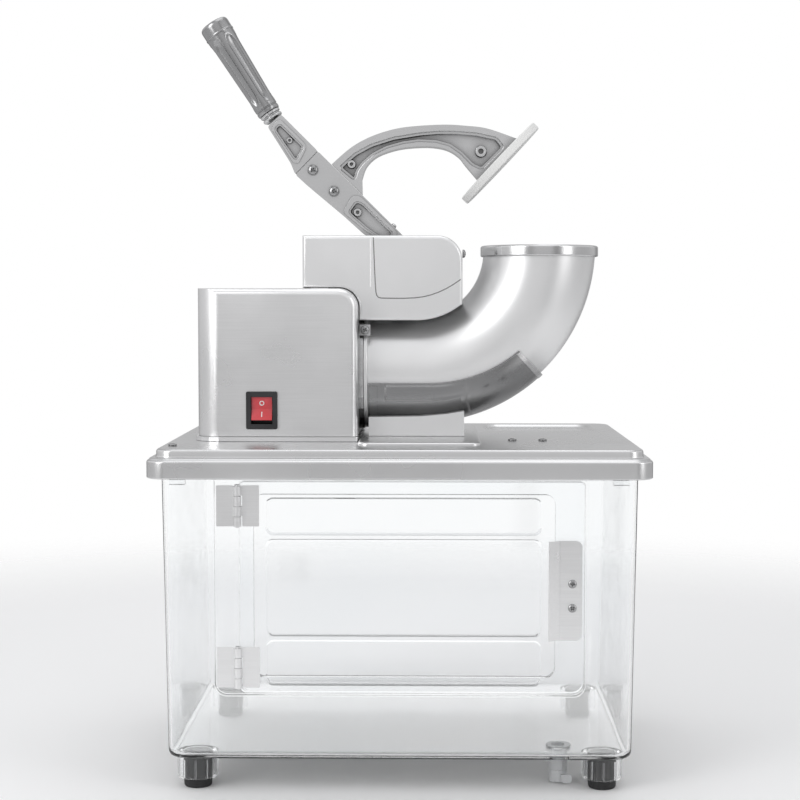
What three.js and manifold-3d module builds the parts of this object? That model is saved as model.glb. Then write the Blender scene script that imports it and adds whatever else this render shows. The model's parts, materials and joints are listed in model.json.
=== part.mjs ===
// Electric shaved ice machine, in millimetres, +Z up, front towards -Y, origin at the middle of its footprint.
// A clear cabinet carries a pressed lid. On the lid stand the motor housing, the cutter chamber and the bent
// feed tube, and a lever swings a pusher plate round the bend of the tube.
import * as THREE from "three";
import { mergeVertices } from "three/addons/utils/BufferGeometryUtils.js";
import Module from "manifold-3d";

const wasm = await Module();
wasm.setup();

// Driving dimensions
const GAP = 0.3; // between pieces that touch
const SHEET = 1.5; // folded sheet metal

const LID_W = 396;
const LID_D = 300;
const LID_R = 14;
const LID_BOTTOM = 250.5;
const FLANGE_TOP = 266.5;
const LID_TOP = 273.5;
const PAD_TOP = 276;

const TUB_TOP_W = 376;
const TUB_TOP_D = 278;
const TUB_FOOT_W = 369;
const TUB_FOOT_D = 271;
const TUB_TOP = 260;
const TUB_BOTTOM = 26.5;
const TUB_WALL = 3;
const BRIM_THICK = 4;

const FOOT_X = 162;
const FOOT_Y = 113;
const SOCKET_R = 15.7; // of the cups under the cabinet that take the feet
const SOCKET_BORE_R = 11.9;
const SOCKET_BOTTOM = 8;
const FOOT_R = 11.5;

const FRAME = { l: -145, r: 146, low: 79, high: 252, back: -132 }; // thickened surround of the door opening
const OPENING = { l: -114, r: 122, low: 94, high: 238 };
const DOOR_L = -124;
const DOOR_R = 144.2;
const DOOR_BOTTOM = 82.5;
const DOOR_TOP = 248.5;
const DOOR_FRONT = -143.2;
const DOOR_THICK = 3.6;
const HINGE_X = -125.6;
const HINGE_Y = -146.75;
const KNUCKLE_R = 3.1;
const HINGE_PIN_R = 1.5;
const HINGE_BORE_R = 1.6;
const HINGE_H = 32;
const HINGE_ZS = { upper: 229.5, lower: 102.5 };

const PIVOT_X = 13;
const PIVOT_Z = 431;
const MOUTH_BEND_R = 104; // bend radius of the tube's centre line at the mouth
const FOOT_BEND_R = 100.5; // and where the tube turns level
const MOUTH_R = 47.5; // outer radius of the tube at the mouth
const LEVEL_R = 44; // and along its level end
const TUBE_WALL = 1.5;
const TUBE_END_X = -28;
const AXIS_Z = PIVOT_Z - FOOT_BEND_R; // height of the motor shaft

const HOUSING_L = -168;
const HOUSING_R = -35.5;
const HOUSING_HALF = 70;
const HOUSING_TOP = 399;
const HOUSING_CORNER = 16; // radius of its top right corner, which the arm cover follows
const BASE_TOP = 277.4;

const COVER_L = -82;
const COVER_R = 51;
const COVER_HALF = 43;
const COVER_TOP = 443;
const COVER_CURVE = 21; // radius of its top right corner
const COVER_BOTTOM_R = 58.9; // of its lower edge about the lever's pivot

const ARM_HALF = 10; // half thickness of the lever's lower arm
const REST_ANGLE = 46.5; // of the pusher plate above the mouth, in degrees
const PUSH_R = 102.5;
const PLATE_R = 44;
const PLATE_T = 7;

const BRACKET = { l: -62, r: -20, inner: 15, outer: 18 };

// Finishes
const paint = (color, roughness, metalness) => new THREE.MeshStandardMaterial({ color, roughness, metalness });
const clear = (color, opacity) =>
  new THREE.MeshStandardMaterial({ color, roughness: 0.08, metalness: 0, transparent: true, opacity });
const finishes = {
  clear_plastic: () => clear(0xf2f6f8, 0.25),
  milky_plastic: () => clear(0xe6e9ea, 0.6),
  lid_metal: () => paint(0xb9bbbc, 0.35, 0.9),
  stainless: () => paint(0xc9cacb, 0.3, 1),
  satin_silver: () => paint(0xc4c6c7, 0.4, 0.9),
  dark_steel: () => paint(0x77797b, 0.15, 1),
  cast_metal: () => paint(0xc0c2c4, 0.25, 1),
  grip_metal: () => paint(0xa9abad, 0.3, 1),
  motor_steel: () => paint(0x8b8d8f, 0.5, 0.8),
  blade_steel: () => paint(0xd5d7d9, 0.15, 1),
  white_nylon: () => paint(0xf4f4f2, 0.5, 0),
  black_plastic: () => paint(0x17181a, 0.45, 0),
  red_plastic: () => paint(0xd0223a, 0.2, 0),
  rubber: () => paint(0x1d1d1e, 0.85, 0),
  copper: () => paint(0xa5633c, 0.4, 0.8),
};

const group = new THREE.Group();

// Solids
function bare(geometry) {
  const copy = geometry.index ? geometry.toNonIndexed() : geometry.clone();
  copy.deleteAttribute("normal");
  copy.deleteAttribute("uv");
  return mergeVertices(copy, 1e-3);
}

function solid(geometry) {
  const merged = bare(geometry);
  const vertProperties = merged.attributes.position.array;
  const triVerts = new Uint32Array(merged.index.array);
  return new wasm.Manifold(new wasm.Mesh({ numProp: 3, vertProperties, triVerts }));
}

function geometryOf(body) {
  const made = body.getMesh();
  const geometry = new THREE.BufferGeometry();
  geometry.setAttribute("position", new THREE.BufferAttribute(made.vertProperties.slice(), 3));
  geometry.setIndex(new THREE.BufferAttribute(made.triVerts.slice(), 1));
  const flat = geometry.toNonIndexed();
  flat.computeVertexNormals();
  return flat;
}

const joined = (first, ...rest) => rest.reduce((sum, piece) => sum.add(piece), first);
const cutBy = (first, ...rest) => rest.reduce((left, piece) => left.subtract(piece), first);

function addPart(name, body, finish) {
  const material = finishes[finish]();
  material.name = finish;
  const mesh = new THREE.Mesh(geometryOf(body), material);
  mesh.name = name;
  group.add(mesh);
}

// Shapes are drawn in the plane that they are extruded from: XY for upright prisms, XZ for crosswise ones.
function outline(points) {
  return new THREE.Shape(points.map(([x, y]) => new THREE.Vector2(x, y)));
}

function roundedRect(x0, x1, y0, y1, radii) {
  const [a, b, c, d] = Array.isArray(radii) ? radii : [radii, radii, radii, radii];
  const shape = new THREE.Shape();
  const corner = (x, y, r, from) => {
    if (r > 0) shape.absarc(x, y, r, from, from + Math.PI / 2, false);
    else if (from < Math.PI) shape.lineTo(x, y);
  };
  shape.moveTo(x0 + a, y0);
  corner(x1 - b, y0 + b, b, -Math.PI / 2);
  corner(x1 - c, y1 - c, c, 0);
  corner(x0 + d, y1 - d, d, Math.PI / 2);
  corner(x0 + a, y0 + a, a, Math.PI);
  return shape;
}

function upright(shape, z0, z1, curveSegments = 2) {
  const geometry = new THREE.ExtrudeGeometry(shape, { depth: z1 - z0, bevelEnabled: false, curveSegments });
  return solid(geometry.translate(0, 0, z0));
}

function crosswise(shape, y0, y1, curveSegments = 2) {
  const geometry = new THREE.ExtrudeGeometry(shape, { depth: y1 - y0, bevelEnabled: false, curveSegments });
  return solid(geometry.rotateX(Math.PI / 2).translate(0, y1, 0));
}

// As crosswise, with its two faces eased all round by a bevel.
function easedCrosswise(shape, y0, y1, ease, steps = 2, curveSegments = 3) {
  const geometry = new THREE.ExtrudeGeometry(shape, {
    depth: y1 - y0 - 2 * ease,
    bevelEnabled: true,
    bevelThickness: ease,
    bevelSize: ease,
    bevelOffset: -ease,
    bevelSegments: steps,
    curveSegments,
  });
  return solid(geometry.rotateX(Math.PI / 2).translate(0, y1 - ease, 0));
}

function block(x0, x1, y0, y1, z0, z1) {
  const geometry = new THREE.BoxGeometry(x1 - x0, y1 - y0, z1 - z0);
  return solid(geometry.translate((x0 + x1) / 2, (y0 + y1) / 2, (z0 + z1) / 2));
}

// Rods run from a to b along one axis, with the other two coordinates given in X, Y, Z order.
function rodX(a, b, y, z, r, sides = 24) {
  const geometry = new THREE.CylinderGeometry(r, r, b - a, sides);
  return solid(geometry.rotateZ(Math.PI / 2).translate((a + b) / 2, y, z));
}

function rodY(a, b, x, z, r, sides = 20) {
  return solid(new THREE.CylinderGeometry(r, r, b - a, sides).translate(x, (a + b) / 2, z));
}

function rodZ(a, b, x, y, r, sides = 24, topR = r) {
  const geometry = new THREE.CylinderGeometry(topR, r, b - a, sides);
  return solid(geometry.rotateX(Math.PI / 2).translate(x, y, (a + b) / 2));
}

// A profile of [radius, height] turned about an upright axis.
function turned(profile, x, y, z, sides = 32) {
  const points = profile.map(([r, h]) => new THREE.Vector2(r, h));
  const geometry = new THREE.LatheGeometry(points, sides);
  return solid(geometry.rotateX(Math.PI / 2).translate(x, y, z));
}

// The tube's centre line: a bend about the lever's pivot, then a level run to the cutter chamber. Angles are
// measured below the mouth; the bend tightens and the tube narrows evenly from the mouth to the level run.
const BEND_STEPS = 12;
const TUBE_SIDES = 32;
const share = (angle) => Math.min(Math.max(angle / (Math.PI / 2), 0), 1);
const bendR = (angle) => THREE.MathUtils.lerp(MOUTH_BEND_R, FOOT_BEND_R, share(angle));
const tubeR = (angle) => THREE.MathUtils.lerp(MOUTH_R, LEVEL_R, share(angle));

// A closed pipe core: rings of radius tubeR + extra from a height above the mouth to an X along the level run.
function tubeCore(extra, above, endX, fromAngle = 0) {
  const rings = [];
  if (above > 0) rings.push({ x: PIVOT_X + MOUTH_BEND_R, z: PIVOT_Z + above, tilt: 0, r: MOUTH_R + extra });
  for (let i = 0; i <= BEND_STEPS; i += 1) {
    const angle = fromAngle + ((Math.PI / 2 - fromAngle) * i) / BEND_STEPS;
    const reach = bendR(angle);
    rings.push({
      x: PIVOT_X + reach * Math.cos(angle),
      z: PIVOT_Z - reach * Math.sin(angle),
      tilt: angle,
      r: tubeR(angle) + extra,
    });
  }
  rings.push({ x: endX, z: AXIS_Z, tilt: Math.PI / 2, r: LEVEL_R + extra });
  const path = new THREE.CatmullRomCurve3(rings.map((ring) => new THREE.Vector3(ring.x, 0, ring.z)));
  const round = new THREE.Shape();
  round.absarc(0, 0, 1, 0, 2 * Math.PI, false);
  const geometry = new THREE.ExtrudeGeometry(round, {
    steps: rings.length - 1,
    depth: 1,
    bevelEnabled: false,
    curveSegments: TUBE_SIDES / 2,
    extrudePath: new THREE.LineCurve3(path.points[0], path.points[path.points.length - 1]),
  });
  // The straight unit bar is set onto the rings: its n-th section becomes the n-th ring.
  const start = path.points[0];
  const along = path.points[path.points.length - 1].clone().sub(start);
  const length = along.length();
  const unit = along.clone().normalize();
  const position = geometry.attributes.position;
  const point = new THREE.Vector3();
  const upInPlane = new THREE.Vector3(-unit.z, 0, unit.x);
  for (let i = 0; i < position.count; i += 1) {
    point.fromBufferAttribute(position, i).sub(start);
    const index = Math.round((point.dot(unit) / length) * (rings.length - 1));
    const ring = rings[index];
    const radial = point.dot(upInPlane) * ring.r;
    const outward = new THREE.Vector3(Math.cos(ring.tilt), 0, -Math.sin(ring.tilt));
    position.setXYZ(i, ring.x + outward.x * radial, point.y * ring.r, ring.z + outward.z * radial);
  }
  return solid(geometry);
}

// Cabinet
function taperedBox(topW, topD, footW, footD, z0, z1, r) {
  const shape = roundedRect(-topW / 2, topW / 2, -topD / 2, topD / 2, r);
  const bar = new THREE.ExtrudeGeometry(shape, { depth: z1 - z0, bevelEnabled: false, curveSegments: 2 });
  bar.translate(0, 0, z0);
  const position = bar.attributes.position;
  for (let i = 0; i < position.count; i += 1) {
    if (position.getZ(i) < (z0 + z1) / 2) {
      position.setX(i, (position.getX(i) * footW) / topW);
      position.setY(i, (position.getY(i) * footD) / topD);
    }
  }
  return solid(bar);
}

function footPlaces() {
  return [
    ["foot_fl", -FOOT_X, -FOOT_Y],
    ["foot_fr", FOOT_X, -FOOT_Y],
    ["foot_bl", -FOOT_X, FOOT_Y],
    ["foot_br", FOOT_X, FOOT_Y],
  ];
}

const DRAIN_X = 128;
const DRAIN_Y = -98;
const DRAIN_HOLE_R = 7.9;

function makeTub() {
  const wall = 2 * TUB_WALL;
  const outside = taperedBox(TUB_TOP_W, TUB_TOP_D, TUB_FOOT_W, TUB_FOOT_D, TUB_BOTTOM, TUB_TOP, 16);
  const inside = taperedBox(
    TUB_TOP_W - wall, TUB_TOP_D - wall, TUB_FOOT_W - wall, TUB_FOOT_D - wall,
    TUB_BOTTOM + TUB_WALL, TUB_TOP + 5, 16 - TUB_WALL);
  const brim = upright(roundedRect(-193, 193, -145.5, 145.5, 12), TUB_TOP - BRIM_THICK, TUB_TOP);
  const frameShape = roundedRect(FRAME.l, FRAME.r, FRAME.low, FRAME.high, [10, 10, 4, 4]);
  const frame = crosswise(frameShape, DOOR_FRONT, FRAME.back);
  const pocket = crosswise(
    roundedRect(DOOR_L - 0.9, DOOR_R + 0.6, DOOR_BOTTOM - 0.6, DOOR_TOP + 0.6, [4, 9, 4, 4]),
    DOOR_FRONT - 5,
    DOOR_FRONT + DOOR_THICK + GAP,
  );
  const opening = crosswise(roundedRect(OPENING.l, OPENING.r, OPENING.low, OPENING.high, 8), -170, -120);
  const socketTop = TUB_BOTTOM + 1;
  const socketProfile = [
    [SOCKET_BORE_R, SOCKET_BOTTOM], [SOCKET_R, SOCKET_BOTTOM], [SOCKET_R, socketTop], [SOCKET_BORE_R, socketTop],
    [SOCKET_BORE_R, SOCKET_BOTTOM]];
  const sockets = footPlaces().map(([, x, y]) => turned(socketProfile, x, y, 0, 16));
  const shell = cutBy(joined(outside, brim), inside);
  const framed = cutBy(joined(shell, frame), pocket, opening);
  const drainHole = rodZ(TUB_BOTTOM - 5, TUB_BOTTOM + 10, DRAIN_X, DRAIN_Y, DRAIN_HOLE_R, 20);
  return cutBy(joined(framed, ...sockets), drainHole);
}

function makeFoot(x, y) {
  const top = TUB_BOTTOM - GAP;
  const profile = [[0, 0], [FOOT_R - 1.3, 0], [FOOT_R - 0.3, 1], [FOOT_R, 7.4], [FOOT_R, top], [0, top]];
  return turned(profile, x, y, 0, 16);
}

addPart("tub", makeTub(), "clear_plastic");
footPlaces().forEach(([name, x, y]) => addPart(name, makeFoot(x, y), "rubber"));

// The drain: a spout through the floor, closed from below by a plug that turns by its thumb tab.
const floorTop = TUB_BOTTOM + TUB_WALL;
const spoutTop = floorTop + 1.5;
const spoutBore = 5.4;
const spoutOuter = 7.6;
const spoutBrim = 10;
const ears = block(DRAIN_X - 11.5, DRAIN_X + 11.5, DRAIN_Y - 3.5, DRAIN_Y + 3.5, 17.5, 21.5);
const spoutBody = turned(
  [[spoutBore, 11], [spoutOuter, 11], [spoutOuter, spoutTop - 1.2], [spoutBrim, spoutTop - 1.2],
    [spoutBrim, spoutTop], [spoutBore, spoutTop], [spoutBore, 11]], DRAIN_X, DRAIN_Y, 0, 16);
const spoutClear = rodZ(10, spoutTop + 1, DRAIN_X, DRAIN_Y, spoutBore, 16);
addPart("drain_spout", cutBy(joined(spoutBody, ears), spoutClear), "milky_plastic");
const plugProfile = [[0, 1.2], [7.4, 1.2], [7.4, 10.7], [5.3, 10.7], [5.1, 24], [0, 24]];
const plugStem = turned(plugProfile, DRAIN_X, DRAIN_Y, 0, 16);
const tabShape = roundedRect(DRAIN_X + 2, DRAIN_X + 10.5, 1, 8, [3, 3, 2, 0]);
const thumbTab = crosswise(tabShape, DRAIN_Y - 9.6, DRAIN_Y - 5.8, 4);
addPart("drain_plug", joined(plugStem, thumbTab), "milky_plastic");

// Lid: a stepped pan turned upside down, with a raised pad round the cutter, a tray hollow and the chute hole.
const CHUTE = { l: -60, r: -38, half: 38 };
const PAD = { l: -34, r: 65, half: 107 };
const TRAY = { l: 74, r: 170, front: 47, back: 128, deep: 5 };

function makeLid() {
  const plan = (inset, radius) =>
    roundedRect(-LID_W / 2 + inset, LID_W / 2 - inset, -LID_D / 2 + inset, LID_D / 2 - inset, radius);
  const flange = upright(plan(0, LID_R), LID_BOTTOM, FLANGE_TOP - 2);
  const roll = upright(plan(2, LID_R - 2), FLANGE_TOP - 2.5, FLANGE_TOP);
  const step = upright(plan(7, 16), FLANGE_TOP - 1, LID_TOP);
  const pad = upright(roundedRect(PAD.l, PAD.r, -PAD.half, PAD.half, 8), LID_TOP - 1, PAD_TOP);
  const skirtHollow = upright(plan(2.5, 12), LID_BOTTOM - 1, TUB_TOP + GAP);
  const stepHollow = upright(plan(10, 14), TUB_TOP - 5, LID_TOP - 2);
  const trayPlan = (extra) =>
    roundedRect(TRAY.l - extra, TRAY.r + extra, TRAY.front - extra, TRAY.back + extra, 12 + Math.min(extra, 1));
  const trayBelow = upright(trayPlan(3), LID_TOP - TRAY.deep - 3, LID_TOP - 1);
  const trayHollow = upright(trayPlan(0), LID_TOP - TRAY.deep, LID_TOP + 2);
  const chute = block(CHUTE.l - GAP, CHUTE.r + GAP, -CHUTE.half - GAP, CHUTE.half + GAP, LID_BOTTOM, PAD_TOP + 5);
  const holes = lidScrews.map(([x, y]) => rodZ(LID_BOTTOM, PAD_TOP + 5, x, y, 1.9, 12));
  const shell = cutBy(joined(flange, roll, step, pad), skirtHollow, stepHollow);
  return cutBy(joined(shell, trayBelow), trayHollow, chute, ...holes);
}

const lidScrews = [[-181, -111], [92, -58], [117, -58]];
addPart("lid", makeLid(), "lid_metal");
lidScrews.forEach(([x, y], i) => {
  const head = turned([[0, LID_TOP - 6], [1.6, LID_TOP - 6], [1.6, LID_TOP + GAP], [3.6, LID_TOP + GAP],
    [3.2, LID_TOP + 1.4], [1.8, LID_TOP + 2], [0, LID_TOP + 2]], x, y, 0, 12);
  addPart(`lid_screw_${i + 1}`, head, "stainless");
});

// Clips hook over the lid's skirt from the cabinet's brim.
function makeClip(x) {
  const front = -LID_D / 2;
  const face = block(x - 1.1, x + 1.1, front + 3 + GAP, front + 4.1, LID_BOTTOM - 3, 255.5);
  const foot = block(x - 6, x + 6, front + 0.3, front + 8, LID_BOTTOM - 4, LID_BOTTOM - GAP);
  return joined(face, foot);
}
addPart("lid_clip_l", makeClip(-172), "clear_plastic");
addPart("lid_clip_r", makeClip(172), "clear_plastic");

// Door hinges: two leaves with four knuckles between them, and a pin.
const LEAF_W = 15.5;
const LEAF_FRONT = DOOR_FRONT - GAP - 1.2;

function makeLeaf(zMid, side, first) {
  const z0 = zMid - HINGE_H / 2;
  const pitch = HINGE_H / 4;
  const span = (a, b) => [Math.min(a, b), Math.max(a, b)];
  const near = HINGE_X + side * 3.6;
  const far = HINGE_X + side * (LEAF_W + 1.2);
  const plate = block(...span(near, far), LEAF_FRONT, DOOR_FRONT - GAP, z0, z0 + HINGE_H);
  const knuckles = [first, first + 2].map((n) => {
    const low = z0 + n * pitch + 0.15;
    const high = z0 + (n + 1) * pitch - 0.15;
    const tab = block(...span(HINGE_X + side, near + side), LEAF_FRONT, DOOR_FRONT - GAP - 0.05, low, high);
    return joined(rodZ(low, high, HINGE_X, HINGE_Y, KNUCKLE_R, 12), tab);
  });
  return cutBy(joined(plate, ...knuckles), rodZ(z0 - 1, z0 + HINGE_H + 1, HINGE_X, HINGE_Y, HINGE_BORE_R, 12));
}

Object.entries(HINGE_ZS).forEach(([place, zMid]) => {
  addPart(`hinge_frame_${place}`, makeLeaf(zMid, -1, 0), "stainless");
  addPart(`hinge_door_${place}`, makeLeaf(zMid, 1, 1), "stainless");
  const pin = rodZ(zMid - HINGE_H / 2 - 0.6, zMid + HINGE_H / 2 + 0.4, HINGE_X, HINGE_Y, HINGE_PIN_R, 12);
  const head = rodZ(zMid + HINGE_H / 2 + 0.3, zMid + HINGE_H / 2 + 1.2, HINGE_X, HINGE_Y, 2.3, 12);
  addPart(`hinge_pin_${place}`, joined(pin, head), "stainless");
});

// Door: a clear panel stiffened by a pressed-back field with two steps.
const HANDLE = { l: 116, fold: 124, r: 142.8, z0: 124.5, z1: 202.5 };
const handleScrewZs = [150, 169];

const HANDLE_SCREW_X = 135;
const FIELD = { l: -104, r: 111, deep: 1.2, bands: [[88, 124], [127, 203.5], [206.5, 236]] };
const handleHoles = () => handleScrewZs.map((z) => rodY(-150, -130, HANDLE_SCREW_X, z, 1.8, 12));

function makeDoor() {
  const back = DOOR_FRONT + DOOR_THICK;
  const panel = crosswise(roundedRect(DOOR_L, DOOR_R, DOOR_BOTTOM, DOOR_TOP, [3, 9, 3, 3]), DOOR_FRONT, back);
  const fields = FIELD.bands.map(([z0, z1]) =>
    crosswise(roundedRect(FIELD.l, FIELD.r, z0, z1, 5), DOOR_FRONT - 1, DOOR_FRONT + FIELD.deep));
  return cutBy(panel, ...fields, ...handleHoles());
}
addPart("door_panel", makeDoor(), "clear_plastic");

function makeHandle() {
  const seat = DOOR_FRONT - GAP;
  const plateShape = roundedRect(HANDLE.fold - 1, HANDLE.r, HANDLE.z0, HANDLE.z1, [0, 5, 5, 0]);
  const plate = crosswise(plateShape, seat - 1.2, seat);
  const lip = outline([
    [HANDLE.fold, seat], [HANDLE.l, seat - 4.9], [HANDLE.l + 0.4, seat - 6], [HANDLE.fold + 0.6, seat - 1.2]]);
  return cutBy(joined(plate, upright(lip, HANDLE.z0, HANDLE.z1)), ...handleHoles());
}
addPart("door_handle", makeHandle(), "stainless");

handleScrewZs.forEach((z, i) => {
  const seat = DOOR_FRONT - GAP - 1.2 - GAP;
  const head = rodY(seat - 1.8, seat, HANDLE_SCREW_X, z, 3.3, 12);
  const shank = rodY(seat - 0.5, DOOR_FRONT + 3, HANDLE_SCREW_X, z, 1.5, 12);
  addPart(`handle_screw_${i + 1}`, joined(head, shank), "stainless");
});

// Motor housing: a folded cover with a wide upright radius at its left and eased edges round its faces.
const EASE = 4.5;
const INLET = { z: 312, half: 13.5, high: 10.5 };
const SWITCH = { x: -113.6, z: 299.2, w: 25.6, h: 30.9 };
const CHAMBER = { l: -66, r: -31.5, outer: 51, inner: 48 };

function housingSolid(inset) {
  const l = HOUSING_L + inset;
  const r = HOUSING_R - inset;
  const half = HOUSING_HALF - inset;
  const top = HOUSING_TOP - inset;
  const low = BASE_TOP + GAP - (inset ? 5 : 0);
  const corners = [0, 0, HOUSING_CORNER - inset, 0];
  const face = easedCrosswise(roundedRect(l, r, low - 12, top, corners), -half, half, EASE - inset / 2);
  const plan = upright(roundedRect(l, r, -half, half, [20 - inset, 0.5, 0.5, 20 - inset]), low, top, 3);
  return face.intersect(plan);
}

function makeHousing() {
  const shell = cutBy(housingSolid(0), housingSolid(SHEET));
  const switchHole = block(
    SWITCH.x - 11.4, SWITCH.x + 11.4, -HOUSING_HALF - 5, -HOUSING_HALF + 5, SWITCH.z - 14, SWITCH.z + 14);
  const inletHole = block(HOUSING_L - 5, HOUSING_L + 5, -11.8, 11.8, INLET.z - 8.3, INLET.z + 8.3);
  const chamberHole = rodX(HOUSING_R - 5, HOUSING_R + 5, 0, AXIS_Z, CHAMBER.outer + 0.6, 28);
  const louvres = [-2, -1, 0, 1, 2].map((n) =>
    block(-150, -90, HOUSING_HALF - 5, HOUSING_HALF + 5, 330 + 9 * n, 333 + 9 * n));
  const slotHalf = BRACKET.outer + 1;
  const bracketHole = block(
    BRACKET.l - 1, HOUSING_R + 5, -slotHalf, slotHalf, AXIS_Z + CHAMBER.outer - 5, HOUSING_TOP + 5);
  return cutBy(shell, switchHole, inletHole, chamberHole, bracketHole, ...louvres);
}
addPart("motor_housing", makeHousing(), "stainless");

const basePlan = roundedRect(HOUSING_L - 2, HOUSING_R + 0.5, -HOUSING_HALF - 2, HOUSING_HALF + 2, [21, 2, 2, 21]);
const baseHole = block(CHUTE.l - 3, -30, -CHUTE.half - 14, CHUTE.half + 14, 270, 290);
addPart("motor_base", cutBy(upright(basePlan, LID_TOP + GAP, BASE_TOP), baseHole), "stainless");

// Power inlet on the left end: a flanged appliance socket.
const socketFlange = block(
  HOUSING_L - 2.6, HOUSING_L - GAP, -INLET.half, INLET.half, INLET.z - INLET.high, INLET.z + INLET.high);
const socketBody = block(HOUSING_L - 1, HOUSING_L + 15, -11.4, 11.4, INLET.z - 7.9, INLET.z + 7.9);
const socketHole = block(HOUSING_L - 3, HOUSING_L + 12, -9.8, 9.8, INLET.z - 6.2, INLET.z + 6.2);
const contacts = [-6.5, 0, 6.5].map((y) =>
  block(HOUSING_L + 2, HOUSING_L + 13, y - 1, y + 1, INLET.z - (y ? 2 : 0), INLET.z + (y ? 2 : 4)));
addPart("power_inlet", joined(cutBy(joined(socketFlange, socketBody), socketHole), ...contacts), "black_plastic");

// Rocker switch: a black frame through the housing's front, with the rocker on a cross pivot inside it.
const FRONT = -HOUSING_HALF;
const ROCKER = { w: 16.8, h: 19, r: 13.2, y: FRONT + 9, tilt: 8 };
const aroundSwitch = (half, halfHeight) =>
  [SWITCH.x - half, SWITCH.x + half, SWITCH.z - halfHeight, SWITCH.z + halfHeight];
const bezelShape = roundedRect(...aroundSwitch(SWITCH.w / 2, SWITCH.h / 2), 1.2);
const bezelFlange = crosswise(bezelShape, FRONT - 2.4, FRONT - GAP, 1);
const bezelBody = block(SWITCH.x - 11, SWITCH.x + 11, FRONT - 1, FRONT + 16, SWITCH.z - 13.6, SWITCH.z + 13.6);
const bezelHoleHalf = ROCKER.w / 2 + 0.5;
const bezelHole = block(
  SWITCH.x - bezelHoleHalf, SWITCH.x + bezelHoleHalf, FRONT - 4, FRONT + 14, SWITCH.z - 11.2, SWITCH.z + 11.2);
addPart("switch_bezel", cutBy(joined(bezelFlange, bezelBody), bezelHole), "black_plastic");

function makeRocker() {
  const depth = 9.2;
  const half = ROCKER.h / 2;
  // Drawn level in depth-height coordinates about the pivot, with two paddles meeting in a shallow vee.
  const side = outline([
    [-depth - 1.6, -half], [-depth + 0.6, 0], [-depth - 1.6, half], [-3, 5], [3, 2], [3, -2], [-3, -5]]);
  const flat = new THREE.Matrix4().set(0, 0, 1, 0, 1, 0, 0, 0, 0, 1, 0, 0, 0, 0, 0, 1);
  const level = new THREE.ExtrudeGeometry(side, { depth: ROCKER.w, bevelEnabled: false }).applyMatrix4(flat);
  level.translate(-ROCKER.w / 2, 0, 0);
  level.rotateX(THREE.MathUtils.degToRad(-ROCKER.tilt));
  level.translate(SWITCH.x, ROCKER.y, SWITCH.z);
  return solid(level);
}
addPart("switch_rocker", makeRocker(), "red_plastic");

// Motor: a can with bearings in its two ends, a wound stator and, on the shaft, the rotor core and the fan.
const CAN = { l: -141, r: -77, outer: 43, inner: 40.5 };
const SHAFT_R = 5;
const BEARING_R = 9;
const can = cutBy(
  rodX(CAN.l, CAN.r, 0, AXIS_Z, CAN.outer, 24),
  rodX(CAN.l + 4, CAN.r - 4, 0, AXIS_Z, CAN.inner, 24),
  rodX(CAN.l - 1, CAN.r + 1, 0, AXIS_Z, BEARING_R + GAP, 16),
);
const canFoot = block(CAN.l + 8, CAN.r - 8, -30, 30, BASE_TOP + GAP, AXIS_Z - CAN.outer + 5);
const canFootCut = rodX(CAN.l, CAN.r, 0, AXIS_Z, CAN.outer - 1, 24);
addPart("motor_can", joined(can, cutBy(canFoot, canFootCut)), "motor_steel");
const ROTOR_R = 26;
const stator = rodX(CAN.l + 14, CAN.r - 14, 0, AXIS_Z, CAN.inner - GAP, 24);
addPart("motor_stator", cutBy(stator, rodX(CAN.l, CAN.r, 0, AXIS_Z, ROTOR_R + 1, 24)), "copper");
const core = rodX(CAN.l + 16, CAN.r - 16, 0, AXIS_Z, ROTOR_R, 24);
addPart("rotor_core", cutBy(core, rodX(CAN.l, CAN.r, 0, AXIS_Z, SHAFT_R + GAP, 16)), "motor_steel");
[["bearing_rear", CAN.l], ["bearing_front", CAN.r - 4]].forEach(([name, x]) => {
  const ring = rodX(x, x + 4, 0, AXIS_Z, BEARING_R, 16);
  addPart(name, cutBy(ring, rodX(x - 1, x + 5, 0, AXIS_Z, SHAFT_R + 0.09, 24)), "blade_steel");
});
const FAN = { l: -151.5, r: -144.5, hub: 12, radius: 38 };
const DISC = { l: -37.5, r: -33.5, radius: 45.5 };
addPart("motor_shaft", rodX(FAN.l - 1, DISC.r + 4, 0, AXIS_Z, SHAFT_R, 24), "motor_steel");

function aboutShaft(body, degrees) {
  return body.translate([0, 0, -AXIS_Z]).rotate([degrees, 0, 0]).translate([0, 0, AXIS_Z]);
}

const fanHub = rodX(FAN.l, FAN.r, 0, AXIS_Z, FAN.hub, 16);
const fanBlades = [0, 60, 120, 180, 240, 300].map((turn) => {
  const paddle = block(FAN.l + 0.5, FAN.r - 0.5, -1, 1, AXIS_Z + FAN.hub - 2, AXIS_Z + FAN.radius);
  return aboutShaft(paddle, turn);
});
addPart("cooling_fan",
  cutBy(joined(fanHub, ...fanBlades), rodX(FAN.l - 1, FAN.r + 1, 0, AXIS_Z, SHAFT_R + GAP, 16)), "black_plastic");

// Cutter: a slotted disc with three blades turns in a chamber that drops the shaved ice through the lid.
const slots = [0, 120, 240].map((turn) =>
  aboutShaft(block(DISC.l - 1, DISC.r + 1, 2, 7, AXIS_Z + 13, AXIS_Z + 41), turn));
addPart("blade_disc",
  cutBy(rodX(DISC.l, DISC.r, 0, AXIS_Z, DISC.radius, 32), rodX(-60, 0, 0, AXIS_Z, SHAFT_R + GAP, 16), ...slots),
  "blade_steel");
[0, 120, 240].forEach((turn, i) => {
  const blade = block(DISC.r + GAP, DISC.r + 1.9, -3.5, 1.6, AXIS_Z + 13, AXIS_Z + 41);
  addPart(`blade_${i + 1}`, aboutShaft(blade, turn), "blade_steel");
});

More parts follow.
